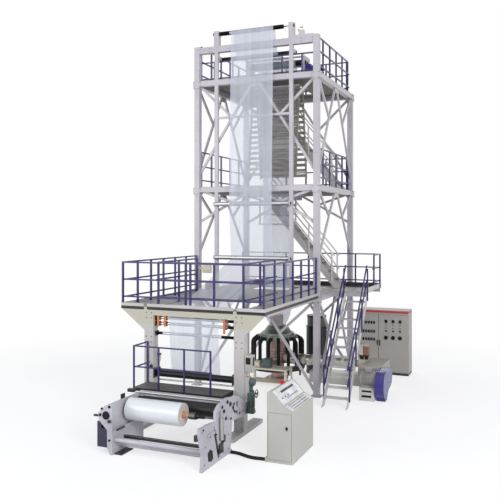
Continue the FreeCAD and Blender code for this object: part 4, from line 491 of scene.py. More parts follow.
# %% Wound film
ROLL_AXIS = (-7.402, 0.800)
roll_look, tree, shader = material("film_wound", Metallic=0.0, Coat_Weight=0.35, Coat_Roughness=0.12)
parts = axes(tree, object_place(tree))
from_axis = [maths(tree, "POWER", maths(tree, "SUBTRACT", parts[side], ROLL_AXIS[side - 1]), 2.0)
             for side in (1, 2)]
radius = maths(tree, "SQRT", maths(tree, "ADD", *from_axis))
rings = noise(tree,
              add(tree, "ShaderNodeCombineXYZ", {0: maths(tree, "MULTIPLY", radius, 420.0)}).outputs[0],
              1.0, 4.0)
lengthways = noise(tree, scaled(tree, object_place(tree), (22.0, 1.2, 1.2)), 1.0, 4.0)
wound = mixed(tree, rings, linear(214, 222, 232), linear(244, 247, 250))
wound = mixed(tree, stretch(tree, lengthways, 0.4, 0.7, 0.0, 0.35), wound, linear(222, 230, 240))
sideways = maths(tree, "ABSOLUTE", axes(tree, add(tree, "ShaderNodeNewGeometry").outputs["Normal"])[0])
wound = mixed(tree, maths(tree, "MULTIPLY", maths(tree, "GREATER_THAN", sideways, 0.7), 0.8), wound,
              linear(222, 208, 198))
core = maths(tree, "LESS_THAN", radius, 0.0775)
chuck = maths(tree, "MULTIPLY", core, maths(tree, "GREATER_THAN", parts[0], 0.845))
wound = mixed(tree, maths(tree, "MULTIPLY", core, maths(tree, "LESS_THAN", parts[0], 0.845)), wound,
              linear(206, 150, 112))
wound = mixed(tree, chuck, wound, linear(40, 34, 44))
tree.links.new(wound, shader.inputs["Base Color"])
tree.links.new(stretch(tree, rings, 0.2, 0.8, 0.22, 0.42), shader.inputs["Roughness"])
bump = add(tree, "ShaderNodeBump",
           {"Height": maths(tree, "ADD", rings, lengthways), "Strength": 0.25, "Distance": 0.002})
tree.links.new(bump.outputs[0], shader.inputs["Normal"])

# %% [markdown]
# The floors are chequered plate and the collapsing boards are wooden slats, grey with age.


# %% Plate and wood
def chequered(name, colour, shine, metallic, edge):
    """Chequered plate: lozenges stand up, are worn brighter, and dirt lies between them."""
    made, tree, shader = material(name, Metallic=metallic)
    raised = add(tree, "ShaderNodeGroup", {}, node_tree=chequer_group).outputs["Height"]
    place = object_place(tree)
    cloudy = stretch(tree, noise(tree, place, 3.0, 6.0, 0.65), 0.3, 0.75)
    base = linear(*colour)
    dull = tuple(c * 0.72 for c in base[:3]) + (1.0,)
    bright = tuple(min(c * 1.35, 1.0) for c in base[:3]) + (1.0,)
    tint = mixed(tree, cloudy, dull, base)
    marked = mixed(tree, maths(tree, "MULTIPLY", raised, 0.55), tint, bright)
    upward = axes(tree, add(tree, "ShaderNodeNewGeometry").outputs["Normal"])[2]
    on_top = maths(tree, "GREATER_THAN", upward, 0.5)
    tree.links.new(mixed(tree, on_top, linear(*edge), marked), shader.inputs["Base Color"])
    tree.links.new(stretch(tree, raised, 0.0, 1.0, shine + 0.2, shine), shader.inputs["Roughness"])
    bump = add(tree, "ShaderNodeBump", {"Height": raised, "Strength": 0.8, "Distance": 0.002})
    tree.links.new(bump.outputs[0], shader.inputs["Normal"])
    return made


deck_plate = chequered("deck_plate", (168, 167, 166), 0.4, 0.2, (112, 106, 100))
dark_plate = chequered("catwalk_plate", (104, 101, 98), 0.4, 0.2, (14, 14, 16))

slat_wood, tree, shader = material("slat_wood", Roughness=0.62)
place = object_place(tree)
grain = noise(tree, scaled(tree, place, (1.6, 60.0, 22.0)), 1.0, 6.0, 0.65)
board = noise(tree, scaled(tree, place, (0.4, 6.0, 6.5)), 1.0, 1.0)
wood = mixed(tree, stretch(tree, grain, 0.3, 0.7), linear(118, 112, 104), linear(172, 165, 154))
tree.links.new(mixed(tree, stretch(tree, board, 0.4, 0.65, 0.0, 0.5), wood, linear(196, 192, 184)),
               shader.inputs["Base Color"])
bump = add(tree, "ShaderNodeBump", {"Height": grain, "Strength": 0.3, "Distance": 0.002})
tree.links.new(bump.outputs[0], shader.inputs["Normal"])
print(len(bpy.data.materials), "materials")

# %% [markdown]
# ## Dressing the CAD nodes
#
# A CAD node whose shape is right keeps its mesh and only gets its finish.

# %% Dress
DRESS = {
    structure: "tower_columns floor_beams inner_posts portal front_back_braces side_braces platform_joists "
               "guide_arms "
               "haul_off_frame bubble_cage",
    frame_paint: "front_frame",
    treads: "outer_stair",
    violet: "low_platform_rails gate_rails walkway_rails upper_floor_rails outer_stair_rails catwalk_rails",
    black: "frame_bearings winder_bearings air_manifold",
    toe_paint_and_back_shade: "toe_boards",
    inner_steel: "inner_stairs",
    base_white: "extruder_bed inner_stair_rails",
    deck_plate: "decks",
    dark_plate: "catwalk",
    banded_roller: "upper_idler middle_idler",
    dark_end_roller: "lower_idler",
    plain_roller: "middle_guide_roller lower_guide_roller haul_off_back_roller",
    roller_rubber: "web_nip_roller second_guide_roller haul_off_front_roller contact_drum",
    blue: "haul_off_drive belt_guard",
    slat_wood: "collapsing_frame",
    die_steel: "die_stand die_head",
    ring_metal: "air_ring",
    cream: "service_table",
    extruder_paint: "extruder",
    blower_dark: "blower",
    hopper_paint: "hoppers",
    motor_grey: "drive_motor",
    winder_paint: "winder_frame",
    roll_look: "film_roll",
    navy: "winder_cover",
    console_grey: "console",
    cabinet_grey: "cabinets",
    door_grey: "left_cabinet_door right_cabinet_door",
}
top_roller_look = metal("top_roller", (150, 152, 158), 0.34, ROUND_X,
                        bands=[(-1.09, -0.76, DARK), (0.50, 0.95, DARK)])
DRESS[top_roller_look] = "top_guide_roller"
dressed = set()
for look, names in DRESS.items():
    for name in names.split():
        nodes[name].data.materials.clear()
        nodes[name].data.materials.append(look)
        dressed.add(name)
print(len(dressed), "nodes dressed; left to new pieces:", sorted(set(nodes) - dressed))


# %% [markdown]
# ## Helpers for shapes
#
# Each new piece is a surface worked out with numpy. `grid_quads` numbers the faces of a grid of points.
# `make` turns points and faces into an object that rides on a body. The others are shapes that come back
# again and again: a turned shape, a tube along a path, blocks with chamfered edges, and hexagon bolts.

# %% Grids and pieces
def grid_quads(rows, columns, wrap=False):
    """Quads between neighbours of a grid; wrap joins the last column to the first."""
    row, column = np.meshgrid(np.arange(rows - 1), np.arange(columns if wrap else columns - 1), indexing="ij")
    after = (column + 1) % columns
    corners = [row * columns + column, row * columns + after, (row + 1) * columns + after,
               (row + 1) * columns + column]
    return np.stack(corners, -1).reshape(-1, 4)


def make(name, points, faces, look, slot, body="line", smooth=35.0, uv=None, stands_for=()):
    """An object at the origin that rides on a body; smooth is the angle under which edges are shaded soft."""
    mesh = bpy.data.meshes.new(name)
    mesh.from_pydata(np.asarray(points, float).tolist(), [], [list(map(int, face)) for face in faces])
    shell = bmesh.new()
    shell.from_mesh(mesh)
    bmesh.ops.recalc_face_normals(shell, faces=shell.faces)
    shell.to_mesh(mesh)
    shell.free()
    if uv is not None:
        layer = mesh.uv_layers.new(name="length")
        corner_points = np.empty(len(mesh.loops), np.int32)
        mesh.loops.foreach_get("vertex_index", corner_points)
        layer.uv.foreach_set("vector", np.asarray(uv, np.float32)[corner_points].ravel())
    mesh.shade_smooth()
    if smooth < 180:
        mesh.set_sharp_from_angle(angle=math.radians(smooth))
    mesh.materials.append(look)
    piece = bpy.data.objects.new(name, mesh)
    bpy.context.scene.collection.objects.link(piece)
    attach(piece, body)
    if stands_for:
        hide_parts(*stands_for)
    return piece


def joined(*shapes):
    """Several (points, faces) as one."""
    points = []
    faces = []
    count = 0
    for some_points, some_faces in shapes:
        points.append(np.asarray(some_points, float))
        faces += [[int(corner) + count for corner in face] for face in some_faces]
        count += len(some_points)
    return np.vstack(points), faces


# %% Turned shapes and tubes
AXES = {"x": ((0, 1, 0), (0, 0, 1), (1, 0, 0)), "y": ((0, 0, 1), (1, 0, 0), (0, 1, 0)),
        "z": ((1, 0, 0), (0, 1, 0), (0, 0, 1))}


def turned(profile, centre, axis="z", sides=32, hollow=False):
    """A turned shape: each profile row (along, radius) is a ring centre + along·axis + radius·(cos t, sin t).

    A hollow one is a hoop: its last row joins its first, and it has no end discs.
    """
    first, second, forward = (np.array(part, float) for part in AXES[axis])
    along, radius = np.asarray(profile, float).T
    turn = np.linspace(0, 2 * np.pi, sides, endpoint=False)
    ring = np.cos(turn)[:, None] * first + np.sin(turn)[:, None] * second
    rings = np.asarray(centre, float) + along[:, None, None] * forward + radius[:, None, None] * ring
    if hollow:
        rings = np.concatenate([rings, rings[:1]])
        count = len(along) * sides
        return rings.reshape(-1, 3)[:count], grid_quads(len(along) + 1, sides, wrap=True) % count
    ends = np.asarray(centre, float) + along[[0, -1], None] * forward
    return close_tube(rings.reshape(-1, 3), ends, len(along), sides)


def close_tube(points, ends, rows, sides):
    """Side faces of a stack of rings, and a fan from each end point to the ring beside it."""
    count = rows * sides
    here = np.arange(sides)
    after = (here + 1) % sides
    last = count - sides
    fans = [np.stack([after, here, np.full(sides, count)], -1),
            np.stack([last + here, last + after, np.full(sides, count + 1)], -1)]
    faces = [*grid_quads(rows, sides, wrap=True), *fans[0], *fans[1]]
    return np.vstack([points, ends]), faces


def tube(path, radius, sides=12, above=(0, 0, 1)):
    """A tube: at each path point a ring of the given radius across the tangent, framed by tangent × above."""
    path = np.asarray(path, float)
    radius = np.broadcast_to(np.asarray(radius, float), (len(path),))
    tangent = np.gradient(path, axis=0)
    tangent /= np.linalg.norm(tangent, axis=1, keepdims=True)
    side = np.cross(tangent, np.asarray(above, float))
    side /= np.linalg.norm(side, axis=1, keepdims=True)
    lift = np.cross(side, tangent)
    turn = np.linspace(0, 2 * np.pi, sides, endpoint=False)[None, :, None]
    outwards = np.cos(turn) * side[:, None] + np.sin(turn) * lift[:, None]
    rings = path[:, None] + radius[:, None, None] * outwards
    return close_tube(rings.reshape(-1, 3), path[[0, -1]], len(path), sides)


def rounded_end(radius, low, high, lip=0.004):
    """Profile rows of a plain turned length whose two edges are broken by a small chamfer."""
    return [(low, radius - lip), (low + lip, radius), (high - lip, radius), (high, radius - lip)]


# %% [markdown]
# A chamfered block has 24 corners: each corner of a box splits into three, one on each face, set in from the
# edges by the chamfer. The faces are 6 large ones, 12 along the edges and 8 little triangles. They are found
# once, on a unit block, and used for any number of blocks.

# %% Chamfered blocks
SIGNS = np.array([[x, y, z] for x in (-1, 1) for y in (-1, 1) for z in (-1, 1)], float)
ON_FACE = np.eye(3)


def block_faces():
    """Faces of one chamfered block over its corners, numbered 3·corner + face axis, all facing outwards."""
    number = {tuple(sign): index for index, sign in enumerate(SIGNS.astype(int).tolist())}
    faces = []
    for axis in range(3):
        others = [other for other in range(3) if other != axis]
        for sign in (-1, 1):
            around = []
            for a, b in ((-1, -1), (1, -1), (1, 1), (-1, 1)):
                corner = [0, 0, 0]
                corner[axis], corner[others[0]], corner[others[1]] = sign, a, b
                around.append(3 * number[tuple(corner)] + axis)
            faces.append(around)
        for a in (-1, 1):
            for b in (-1, 1):
                ends = []
                for sign in (-1, 1):
                    corner = [0, 0, 0]
                    corner[axis], corner[others[0]], corner[others[1]] = sign, a, b
                    ends.append(3 * number[tuple(corner)])
                faces.append([ends[0] + others[0], ends[1] + others[0], ends[1] + others[1],
                              ends[0] + others[1]])
    return faces + [[3 * corner, 3 * corner + 1, 3 * corner + 2] for corner in range(8)]


BLOCK_FACES = block_faces()


def blocks(lows, highs, chamfer=0.004):
    """Chamfered blocks between arrays of lowest and highest corners."""
    lows, highs = np.atleast_2d(np.asarray(lows, float)), np.atleast_2d(np.asarray(highs, float))
    middle, half = (lows + highs) / 2, (highs - lows) / 2
    cut = np.minimum(chamfer, half.min(axis=1) * 0.8)[:, None, None, None] * (1 - ON_FACE)
    corners = middle[:, None, None] + SIGNS[:, None] * (half[:, None, None] - cut)
    points = corners.reshape(-1, 3)
    faces = [[corner + 24 * index for corner in face] for index in range(len(lows)) for face in BLOCK_FACES]
    return points, faces


def leaning(shape, origin, angle, axis="x"):
    """A shape turned about an axis through a point, by an angle in degrees."""
    points, faces = shape
    cosine, sine = math.cos(math.radians(angle)), math.sin(math.radians(angle))
    first, second = {"x": (1, 2), "y": (2, 0), "z": (0, 1)}[axis]
    away = np.asarray(points, float) - origin
    turned_points = away.copy()
    turned_points[:, first] = cosine * away[:, first] - sine * away[:, second]
    turned_points[:, second] = sine * away[:, first] + cosine * away[:, second]
    return turned_points + origin, faces


# %% Hexagon bolts
BOLT_PROFILE = np.array([(0.0, 1.55), (0.22, 1.55), (0.24, 1.0), (0.8, 1.0), (0.95, 0.8), (0.95, 0.4)])


def bolts(places, normals, size=0.014):
    """A washer and a hexagon head at each place: the profile is turned about the normal in six steps."""
    places, normals = np.asarray(places, float), np.asarray(normals, float)
    normals = np.broadcast_to(normals, places.shape)
    first = np.cross(normals, np.where(np.abs(normals[:, 2:3]) > 0.9, [[1.0, 0, 0]], [[0, 0, 1.0]]))
    second = np.cross(normals, first)
    turn = np.linspace(0, 2 * np.pi, 6, endpoint=False)
    ring = np.cos(turn)[None, :, None] * first[:, None] + np.sin(turn)[None, :, None] * second[:, None]
    along, radius = BOLT_PROFILE.T * size
    rows = places[:, None, None] + along[None, :, None, None] * normals[:, None, None]
    rows = rows + radius[None, :, None, None] * ring[:, None]
    rows = rows.reshape(-1, 3)
    one = [*grid_quads(len(along), 6, wrap=True), list(range(5, -1, -1)), list(range(30, 36))]
    faces = [[corner + 36 * index for corner in face] for index in range(len(places)) for face in one]
    return rows, faces


# %% [markdown]
# ## The console's cable
#
# A thick black cable lies on the floor from the winder to the console. Its line is a NURBS spline over the
# same points as the CAD route, because a spline bends as a stiff cable does. The points along that spline are
# read back from Blender, and a round tube is laid along them: a mesh, so that its size is measured as it is.

# %% Console cable
CABLE_ROUTE = [(1.600, -7.010), (1.730, -7.010), (1.860, -7.055), (1.985, -7.115), (2.110, -7.150),
               (2.225, -7.155), (2.325, -7.140), (2.415, -7.140)]
CABLE_RADIUS, CABLE_LEVEL = 0.035, 0.036
route = bpy.data.curves.new("cable_route", "CURVE")
route.dimensions = "3D"
spline = route.splines.new("NURBS")
spline.points.add(len(CABLE_ROUTE) - 1)
for point, (x, y) in zip(spline.points, CABLE_ROUTE):
    point.co = (x, y, CABLE_LEVEL, 1)
spline.order_u = 3
spline.use_endpoint_u = True
spline.resolution_u = 12
route_object = bpy.data.objects.new("cable_route", route)
bpy.context.scene.collection.objects.link(route_object)
bpy.context.view_layer.update()
line_mesh = bpy.data.meshes.new_from_object(route_object)
cable_line = np.empty(len(line_mesh.vertices) * 3)
line_mesh.vertices.foreach_get("co", cable_line)
cable_line = cable_line.reshape(-1, 3)
bpy.data.objects.remove(route_object)
cable = make("console_lead", *tube(cable_line, CABLE_RADIUS, 24), hose_rubber, "hose_rubber", smooth=60,
             stands_for=["console_cable"])
print("cable over", len(CABLE_ROUTE), "points,", len(cable_line), "rings")

# %% [markdown]
# ## The film web
#
# Seen from the side, the web is a belt over rollers: straight runs that touch each roller and an arc round
# it. With the direction of travel θ and a signed radius s (positive where the roller lies on the left), the
# film touches the roller at c - s·n(θ), where n is the left normal. Two rollers a distance D apart, whose
# centres lie in direction φ, share the run with θ = φ - asin((s₂ - s₁) / D). The web is that line, spread
# across X, with shallow waves that fade out at each roller, as film under tension has.

# %% Path of the web
FILM_OFF = 0.002
SAME_PLACE = 1e-6
ROLLERS = [  # (y, z), signed radius, and the two edges of the web there
    ((-0.098, 9.600), 0.095, (-0.64, 0.64)),
    ((-1.500, 9.560), -0.060, (-0.70, 0.59)),
    ((-1.870, 10.210), 0.060, (-0.70, 0.59)),
    ((-1.995, 5.290), 0.060, (-0.70, 0.59)),
    ((-1.995, 3.760), -0.060, (-0.70, 0.59)),
    ((-5.700, 2.500), 0.034, (-0.56, 0.71)),
    ((-5.700, 2.362), 0.034, (-0.56, 0.71)),
    ((-5.700, 2.135), 0.034, (-0.56, 0.71)),
    ((-5.700, 1.190), -0.078, (-0.56, 0.71)),
]


def left_normal(theta):
    """The unit normal on the left of a direction."""
    return np.stack([-np.sin(theta), np.cos(theta)], -1)


def web_line():
    """Rows of (y, z) for the web, how free each is of its rollers, and how far on it is between them."""
    centres = np.array([centre for centre, _, _ in ROLLERS])
    signed = np.array([radius + math.copysign(FILM_OFF, radius) for _, radius, _ in ROLLERS])
    gaps = np.diff(centres, axis=0)
    swing = np.arcsin(np.diff(signed) / np.linalg.norm(gaps, axis=1))
    bearing = np.unwrap(np.arctan2(gaps[:, 1], gaps[:, 0]) - swing)
    headings = np.concatenate([[math.pi / 2], bearing, [bearing[-1] - math.radians(60)]])
    rows, quiet, station = [], [], []
    for index in range(len(ROLLERS)):
        theta = np.linspace(headings[index], headings[index + 1], 14)
        rows.append(centres[index] - signed[index] * left_normal(theta))
        quiet.append(np.zeros(14))
        station.append(np.full(14, float(index)))
        if index + 1 < len(ROLLERS):
            leave = rows[-1][-1]
            arrive = centres[index + 1] - signed[index + 1] * left_normal(headings[index + 1])
            steps = np.linspace(0, 1, max(6, int(np.linalg.norm(arrive - leave) / 0.07)))[1:-1]
            rows.append(leave + steps[:, None] * (arrive - leave))
            quiet.append(np.sin(np.pi * steps) ** 0.7)
            station.append(index + steps)
    rows, quiet, station = np.vstack(rows), np.concatenate(quiet), np.concatenate(station)
    # A roller that the web only touches would give the same row many times, so one is kept.
    moved = np.linalg.norm(np.diff(rows, axis=0), axis=1) > SAME_PLACE
    kept = np.concatenate([[True], moved])
    return rows[kept], quiet[kept], station[kept]


line, quiet, station = web_line()
travel = np.concatenate([[0], np.cumsum(np.linalg.norm(np.diff(line, axis=0), axis=1))])
print("web", round(float(travel[-1]), 2), "m long over", len(ROLLERS), "rollers")

# %% Web surface
ACROSS = 72
edges = np.array([edge for _, _, edge in ROLLERS])
left_edge = np.interp(station, np.arange(len(ROLLERS)), edges[:, 0])
right_edge = np.interp(station, np.arange(len(ROLLERS)), edges[:, 1])
share = np.linspace(0, 1, ACROSS)
x = left_edge[:, None] + (right_edge - left_edge)[:, None] * share
heading = np.gradient(line, axis=0)
heading /= np.linalg.norm(heading, axis=1, keepdims=True)
outward = np.stack([-heading[:, 1], heading[:, 0]], -1)
rng = np.random.default_rng(7)
waves = np.zeros_like(x)
for count in (3, 5, 8, 13):
    phase, drift, turn_rate = rng.uniform(0, 2 * np.pi), rng.uniform(0.2, 0.9), rng.uniform(-0.5, 0.5)
    wander = phase + drift * np.sin(travel * turn_rate + phase)[:, None]
    waves += np.cos(count * np.pi * share[None] + wander) * 0.006 / count
waves *= quiet[:, None]
web_points = np.stack([x, line[:, 0:1] + outward[:, 0:1] * waves, line[:, 1:2] + outward[:, 1:2] * waves], -1)
web_uv = np.stack([x, np.broadcast_to(travel[:, None], x.shape)], -1)
make("film_web", web_points.reshape(-1, 3), grid_quads(len(line), ACROSS), web_look, "film", smooth=180,
     uv=web_uv.reshape(-1, 2), stands_for=["web_sheets"])

# %% [markdown]
# ## The bubble
#
# The bubble is one closed tube of film. Its ring at height z is a superellipse that starts as a circle and
# flattens into a band, with half axes a(z) and b(z). Above the frost line folds gather: the ring swells and
# sinks with cos(kt), most where the tube is half closed, and the neck above the air ring bulges a little.

# %% Bubble
DIE_LIP, NIP_LEVEL = 1.601, 9.60
heights = np.array([DIE_LIP, 1.66, 1.78, 1.95, 2.15, 2.40, 3.0, 4.2, 6.0, 7.2, 8.4, 9.2, 9.44, NIP_LEVEL])
half_long = np.array([0.249, 0.262, 0.325, 0.392, 0.432, 0.449, 0.450, 0.450, 0.450, 0.514, 0.580, 0.626,
                      0.638, 0.638])
half_deep = np.array([0.249, 0.262, 0.325, 0.392, 0.432, 0.449, 0.450, 0.450, 0.447, 0.300, 0.150, 0.052,
                      0.022, 0.0010])
levels = np.concatenate([np.linspace(DIE_LIP, 2.4, 40), np.linspace(2.42, 6.0, 70),
                         np.linspace(6.03, NIP_LEVEL, 110)])
long_axis = np.interp(levels, heights, half_long)[:, None]
deep_axis = np.interp(levels, heights, half_deep)[:, None]
ROUND = 144
turn = np.linspace(0, 2 * np.pi, ROUND, endpoint=False)[None]
closing = np.clip((levels - 5.8) / 3.7, 0, 1)[:, None]
folds = 0.5 * np.sin(np.pi * np.clip(closing, 0, 1)) ** 1.5
folding = np.cos(11 * turn + 1.7 * closing) + 0.6 * np.cos(17 * turn - 2.3 * closing + 1.0)
opened = np.clip((levels[:, None] - 1.65) / 0.5, 0, 1)
slack = 0.004 * np.cos(5 * turn + 2.0 * levels[:, None]) * opened * (1 - closing)
swell = 1 + 0.014 * folds * folding - np.abs(slack) * 0.8
ring_x = long_axis * np.cos(turn) * np.minimum(swell, 1.0)
ring_y = deep_axis * np.sin(turn) * swell
bubble_points = np.stack([ring_x, ring_y, np.broadcast_to(levels[:, None], ring_x.shape)], -1)
bubble_uv = np.stack([np.broadcast_to(turn * 0.45, ring_x.shape),
                      np.broadcast_to(levels[:, None], ring_x.shape)], -1)
make("film_bubble_skin", bubble_points.reshape(-1, 3), grid_quads(len(levels), ROUND, wrap=True),
     bubble_look, "film",
     smooth=180, uv=bubble_uv.reshape(-1, 2), stands_for=["film_bubble"])
print("bubble of", len(levels), "rings")

# %% [markdown]
# ## Air hoses
#
# Corrugated rubber hoses feed the air ring. A hose is a tube whose radius beats along its length,
# r = r₀ + h·cos(2πs / pitch), so its rings need no modelling one by one. Each leaves the ring level, bends in
# a quarter circle and drops on to the manifold; a metal clamp holds each end.

# %% Hoses
HOSE_ANGLES = [index * math.pi / 8 for index in range(16) if index]
HOSE_RADIUS, HOSE_BEAT, HOSE_PITCH = 0.050, 0.005, 0.030
CLAMPS_AT, CLAMP_RADIUS = (0.02, 0.955), 0.0575
RING_OUT, DROP_AT, RING_LEVEL, MANIFOLD_TOP = 0.5605, 0.770, 1.255, 0.4505
quarter = np.linspace(0, np.pi / 2, 24)
bend = DROP_AT - RING_OUT - 0.03
hose_out = np.concatenate([[RING_OUT], RING_OUT + 0.03 + bend * np.sin(quarter), np.full(96, DROP_AT)])
hose_up = np.concatenate([[RING_LEVEL], RING_LEVEL - bend * (1 - np.cos(quarter)),
                          np.linspace(RING_LEVEL - bend, MANIFOLD_TOP, 97)[1:]])
gone = np.concatenate([[0], np.cumsum(np.hypot(np.diff(hose_out), np.diff(hose_up)))])
even = np.linspace(0, gone[-1], int(gone[-1] / (HOSE_PITCH / 5)))
hose_out, hose_up = np.interp(even, gone, hose_out), np.interp(even, gone, hose_up)
hose_radius = HOSE_RADIUS + HOSE_BEAT * np.cos(2 * np.pi * even / HOSE_PITCH)
hoses, clamps = [], []
for angle in HOSE_ANGLES:
    direction = np.array([math.cos(angle), math.sin(angle)])
    path = np.column_stack([hose_out[:, None] * direction, hose_up])
    hoses.append(tube(path, hose_radius, 16, above=(-direction[1], direction[0], 0)))
    for share in CLAMPS_AT:
        start = int(share * (len(path) - 1))
        spot = path[start:start + 6]
        clamps.append(tube(spot, CLAMP_RADIUS, 16, above=(-direction[1], direction[0], 0)))
make("corrugated_hoses", *joined(*hoses), hose_rubber, "hose_rubber", smooth=60, stands_for=["air_hoses"])
make("hose_clamps", *joined(*clamps), bolt_metal, "roller_steel")
print(len(HOSE_ANGLES), "hoses, each", round(float(even[-1]), 2), "m")

# %% [markdown]
# ## Bolts and feet of the tower
#
# The joint boxes of the tower are bolted on every face, the feet are held to the floor, and each guard rail
# post stands on a small plate. The posts' places are read from the rails' own mesh: a post's corner is a
# point on the floor with a partner one post's width away on each side.

# %% Joint bolts
FLOORS = (2.760, 5.800, 8.900)
spots, faces_to = [], []
for x in (-1.820, 1.820):
    for y in (-1.815, 1.815):
        for level in FLOORS:
            for rise in (-0.185, -0.04):
                for side in (-0.072, 0.072):
                    for normal in ((0, -1, 0), (0, 1, 0), (-1, 0, 0), (1, 0, 0)):
                        across = np.array([side if normal[1] else 0.0, side if normal[0] else 0.0, rise])
                        spots.append(np.array([x, y, level]) + across + 0.105 * np.array(normal))
                        faces_to.append(normal)
        for side_x in (-0.12, 0.12):
            for side_y in (-0.12, 0.12):
                spots.append(np.array([x + side_x, y + side_y, 0.020]))
                faces_to.append((0, 0, 1))
for x in (-1.0575, 1.2575):
    for z in (2.62, 2.50, 2.06, 1.94, 0.30, 0.16):
        for side in (-0.07, 0.07):
            spots.append(np.array([x + side, -5.830, z]))
            faces_to.append((0, -1, 0))
for x in (-1.72, -1.40, 1.40, 1.72):
    for z in (9.74, 9.82):
        spots.append(np.array([x, -1.895, z]))
        faces_to.append((0, -1, 0))
make("tower_bolts", *bolts(spots, faces_to, 0.013), bolt_metal, "roller_steel")


# %% Post feet
def post_corners(name, floor_level, post):
    """Centres of the posts of a rail node, from the points of its mesh that lie on the floor."""
    mesh = nodes[name].data
    points = np.empty(len(mesh.vertices) * 3)
    mesh.vertices.foreach_get("co", points)
    points = points.reshape(-1, 3)
    on_floor = {(round(x, 3), round(y, 3)) for x, y, z in points if abs(z - floor_level) < 0.002}
    return [(x + post / 2, y + post / 2, floor_level) for x, y in sorted(on_floor)
            if (round(x + post, 3), y) in on_floor and (x, round(y + post, 3)) in on_floor]


post_feet = []
for name, levels_of in (("low_platform_rails", FLOORS[:1]), ("gate_rails", FLOORS[:1]),
                        ("walkway_rails", FLOORS[:1]),
                        ("upper_floor_rails", FLOORS[1:])):
    for level in levels_of:
        post_feet += post_corners(name, level, 0.044)
post_feet = np.array(post_feet)
half_plate = np.array([0.046, 0.046, 0.0])
make("post_plates", *blocks(post_feet - half_plate, post_feet + half_plate + [0, 0, 0.010], 0.002), violet,
     "rails")
foot_bolts = (post_feet[:, None] + np.array([[-0.034, -0.034, 0.010], [0.034, 0.034, 0.010]])).reshape(-1, 3)
make("post_bolts", *bolts(foot_bolts, (0, 0, 1), 0.007), bolt_metal, "roller_steel")
print(len(post_feet), "rail posts found,", len(spots) + len(foot_bolts), "bolts")

# %% [markdown]
# Gusset plates sit where the braces meet the beams and the columns, each with two bolts.

# %% Gussets
plate_lows, plate_highs, spots, faces_to = [], [], [], []
for y, normal in ((-1.813, -1), (1.867, 1)):
    for top in (2.677, 5.717, 8.817):
        plate_lows.append((-0.17, y - 0.006, top - 0.20))
        plate_highs.append((0.17, y + 0.006, top + 0.02))
        for side in (-0.10, 0.10):
            spots.append((side, y + 0.006 * normal, top - 0.06))
            faces_to.append((0, normal, 0))
for x, normal in ((-1.872, -1), (1.872, 1)):
    for top in (2.677, 5.717, 8.817):
        plate_lows.append((x - 0.006, -0.17, top - 0.20))
        plate_highs.append((x + 0.006, 0.17, top + 0.02))
        for side in (-0.10, 0.10):
            spots.append((x + 0.006 * normal, side, top - 0.06))
            faces_to.append((normal, 0, 0))
make("gusset_plates", *blocks(plate_lows, plate_highs, 0.003), structure, "structure")
make("gusset_bolts", *bolts(spots, faces_to, 0.012), bolt_metal, "roller_steel")

# %% [markdown]
# ## Fittings on the tower
#
# Between the front columns hang a pale lamp box and a brown switch box, and the drive's terminal box sits on
# the haul-off. Their places come from the photo, set on the steel that carries them.

# %% Boxes on the tower
make("lamp_box", *joined(blocks((-1.600, -1.975, 3.300), (-1.320, -1.905, 3.560), 0.008),
                         blocks((-1.860, -1.907, 3.410), (-1.340, -1.894, 3.450), 0.002),
                         blocks((-1.575, -1.985, 3.330), (-1.345, -1.975, 3.530), 0.003)), cream,
     "cream_paint")
make("brown_box", *joined(blocks((-1.500, -1.990, 2.830), (-1.270, -1.900, 3.000), 0.008),
                          blocks((-1.400, -1.960, 2.767), (-1.370, -1.930, 2.835), 0.003),
                          blocks((-1.480, -1.996, 2.850), (-1.290, -1.990, 2.980), 0.002)), brown,
     "dark_metal")
FIN = 0.010
fin_at = np.arange(0.0, 0.24, 0.020)
fin_rows = [(0.0, 0.080)] + [row for at in fin_at
                             for row in ((at, 0.080), (at, 0.086), (at + FIN, 0.086), (at + FIN, 0.080))]
make("haul_off_motor_fins", *turned(fin_rows, (1.140, 0.0, 9.405), "x", 40), blue, "drive_paint")
make("haul_off_cowl", *joined(
    turned([(0.0, 0.030), (0.006, 0.082), (0.050, 0.088), (0.058, 0.088)], (1.352, 0, 9.405), "x", 40),
    blocks((1.17, -0.055, 9.485), (1.29, 0.055, 9.535), 0.006),
), black_plastic, "dark_metal")
make("haul_off_bearings", *joined(*[
    turned([(0.0, 0.070), (0.012, 0.074), (0.030, 0.050), (0.034, 0.026)],
           (0.930 if side > 0 else 0.896, y, 9.600), "x", 28)
    for side in (1,) for y in (-0.098, 0.098)]), black, "dark_metal")
haul_spots = [(0.930, y, z) for y in (-0.28, 0.28) for z in (8.98, 9.72)]
make("haul_off_bolts", *bolts(haul_spots, (1, 0, 0), 0.012), bolt_metal, "roller_steel")

# %% [markdown]
# ## Boards of the collapsing frame
#
# The slats that press the bubble flat lie close together, with dark gaps. The CAD's slats are strips with
# wide gaps; a pale board on the outer side of each one, set along the same lean, closes the gap to what the
# photo shows. A board is a block turned about X by the lean of the frame.

# %% Collapsing boards
SLATS = 17
LOW_Y, LOW_Z, HIGH_Y, HIGH_Z = 0.510, 6.150, 0.150, 8.9293
lean = math.degrees(math.atan2(LOW_Y - HIGH_Y, HIGH_Z - LOW_Z))
boards = []
for side in (-1, 1):
    for index in range(SLATS):
        share = (index + 0.5) / SLATS
        spot = np.array([0.0, side * (LOW_Y - (LOW_Y - HIGH_Y) * share), LOW_Z + (HIGH_Z - LOW_Z) * share])
        spot[1] += side * 0.0165
        board = blocks(spot - [0.735, 0.006, 0.045], spot + [0.735, 0.006, 0.045], 0.003)
        boards.append(leaning(board, spot, side * lean))
make("collapsing_boards", *joined(*boards), slat_wood, "slats")

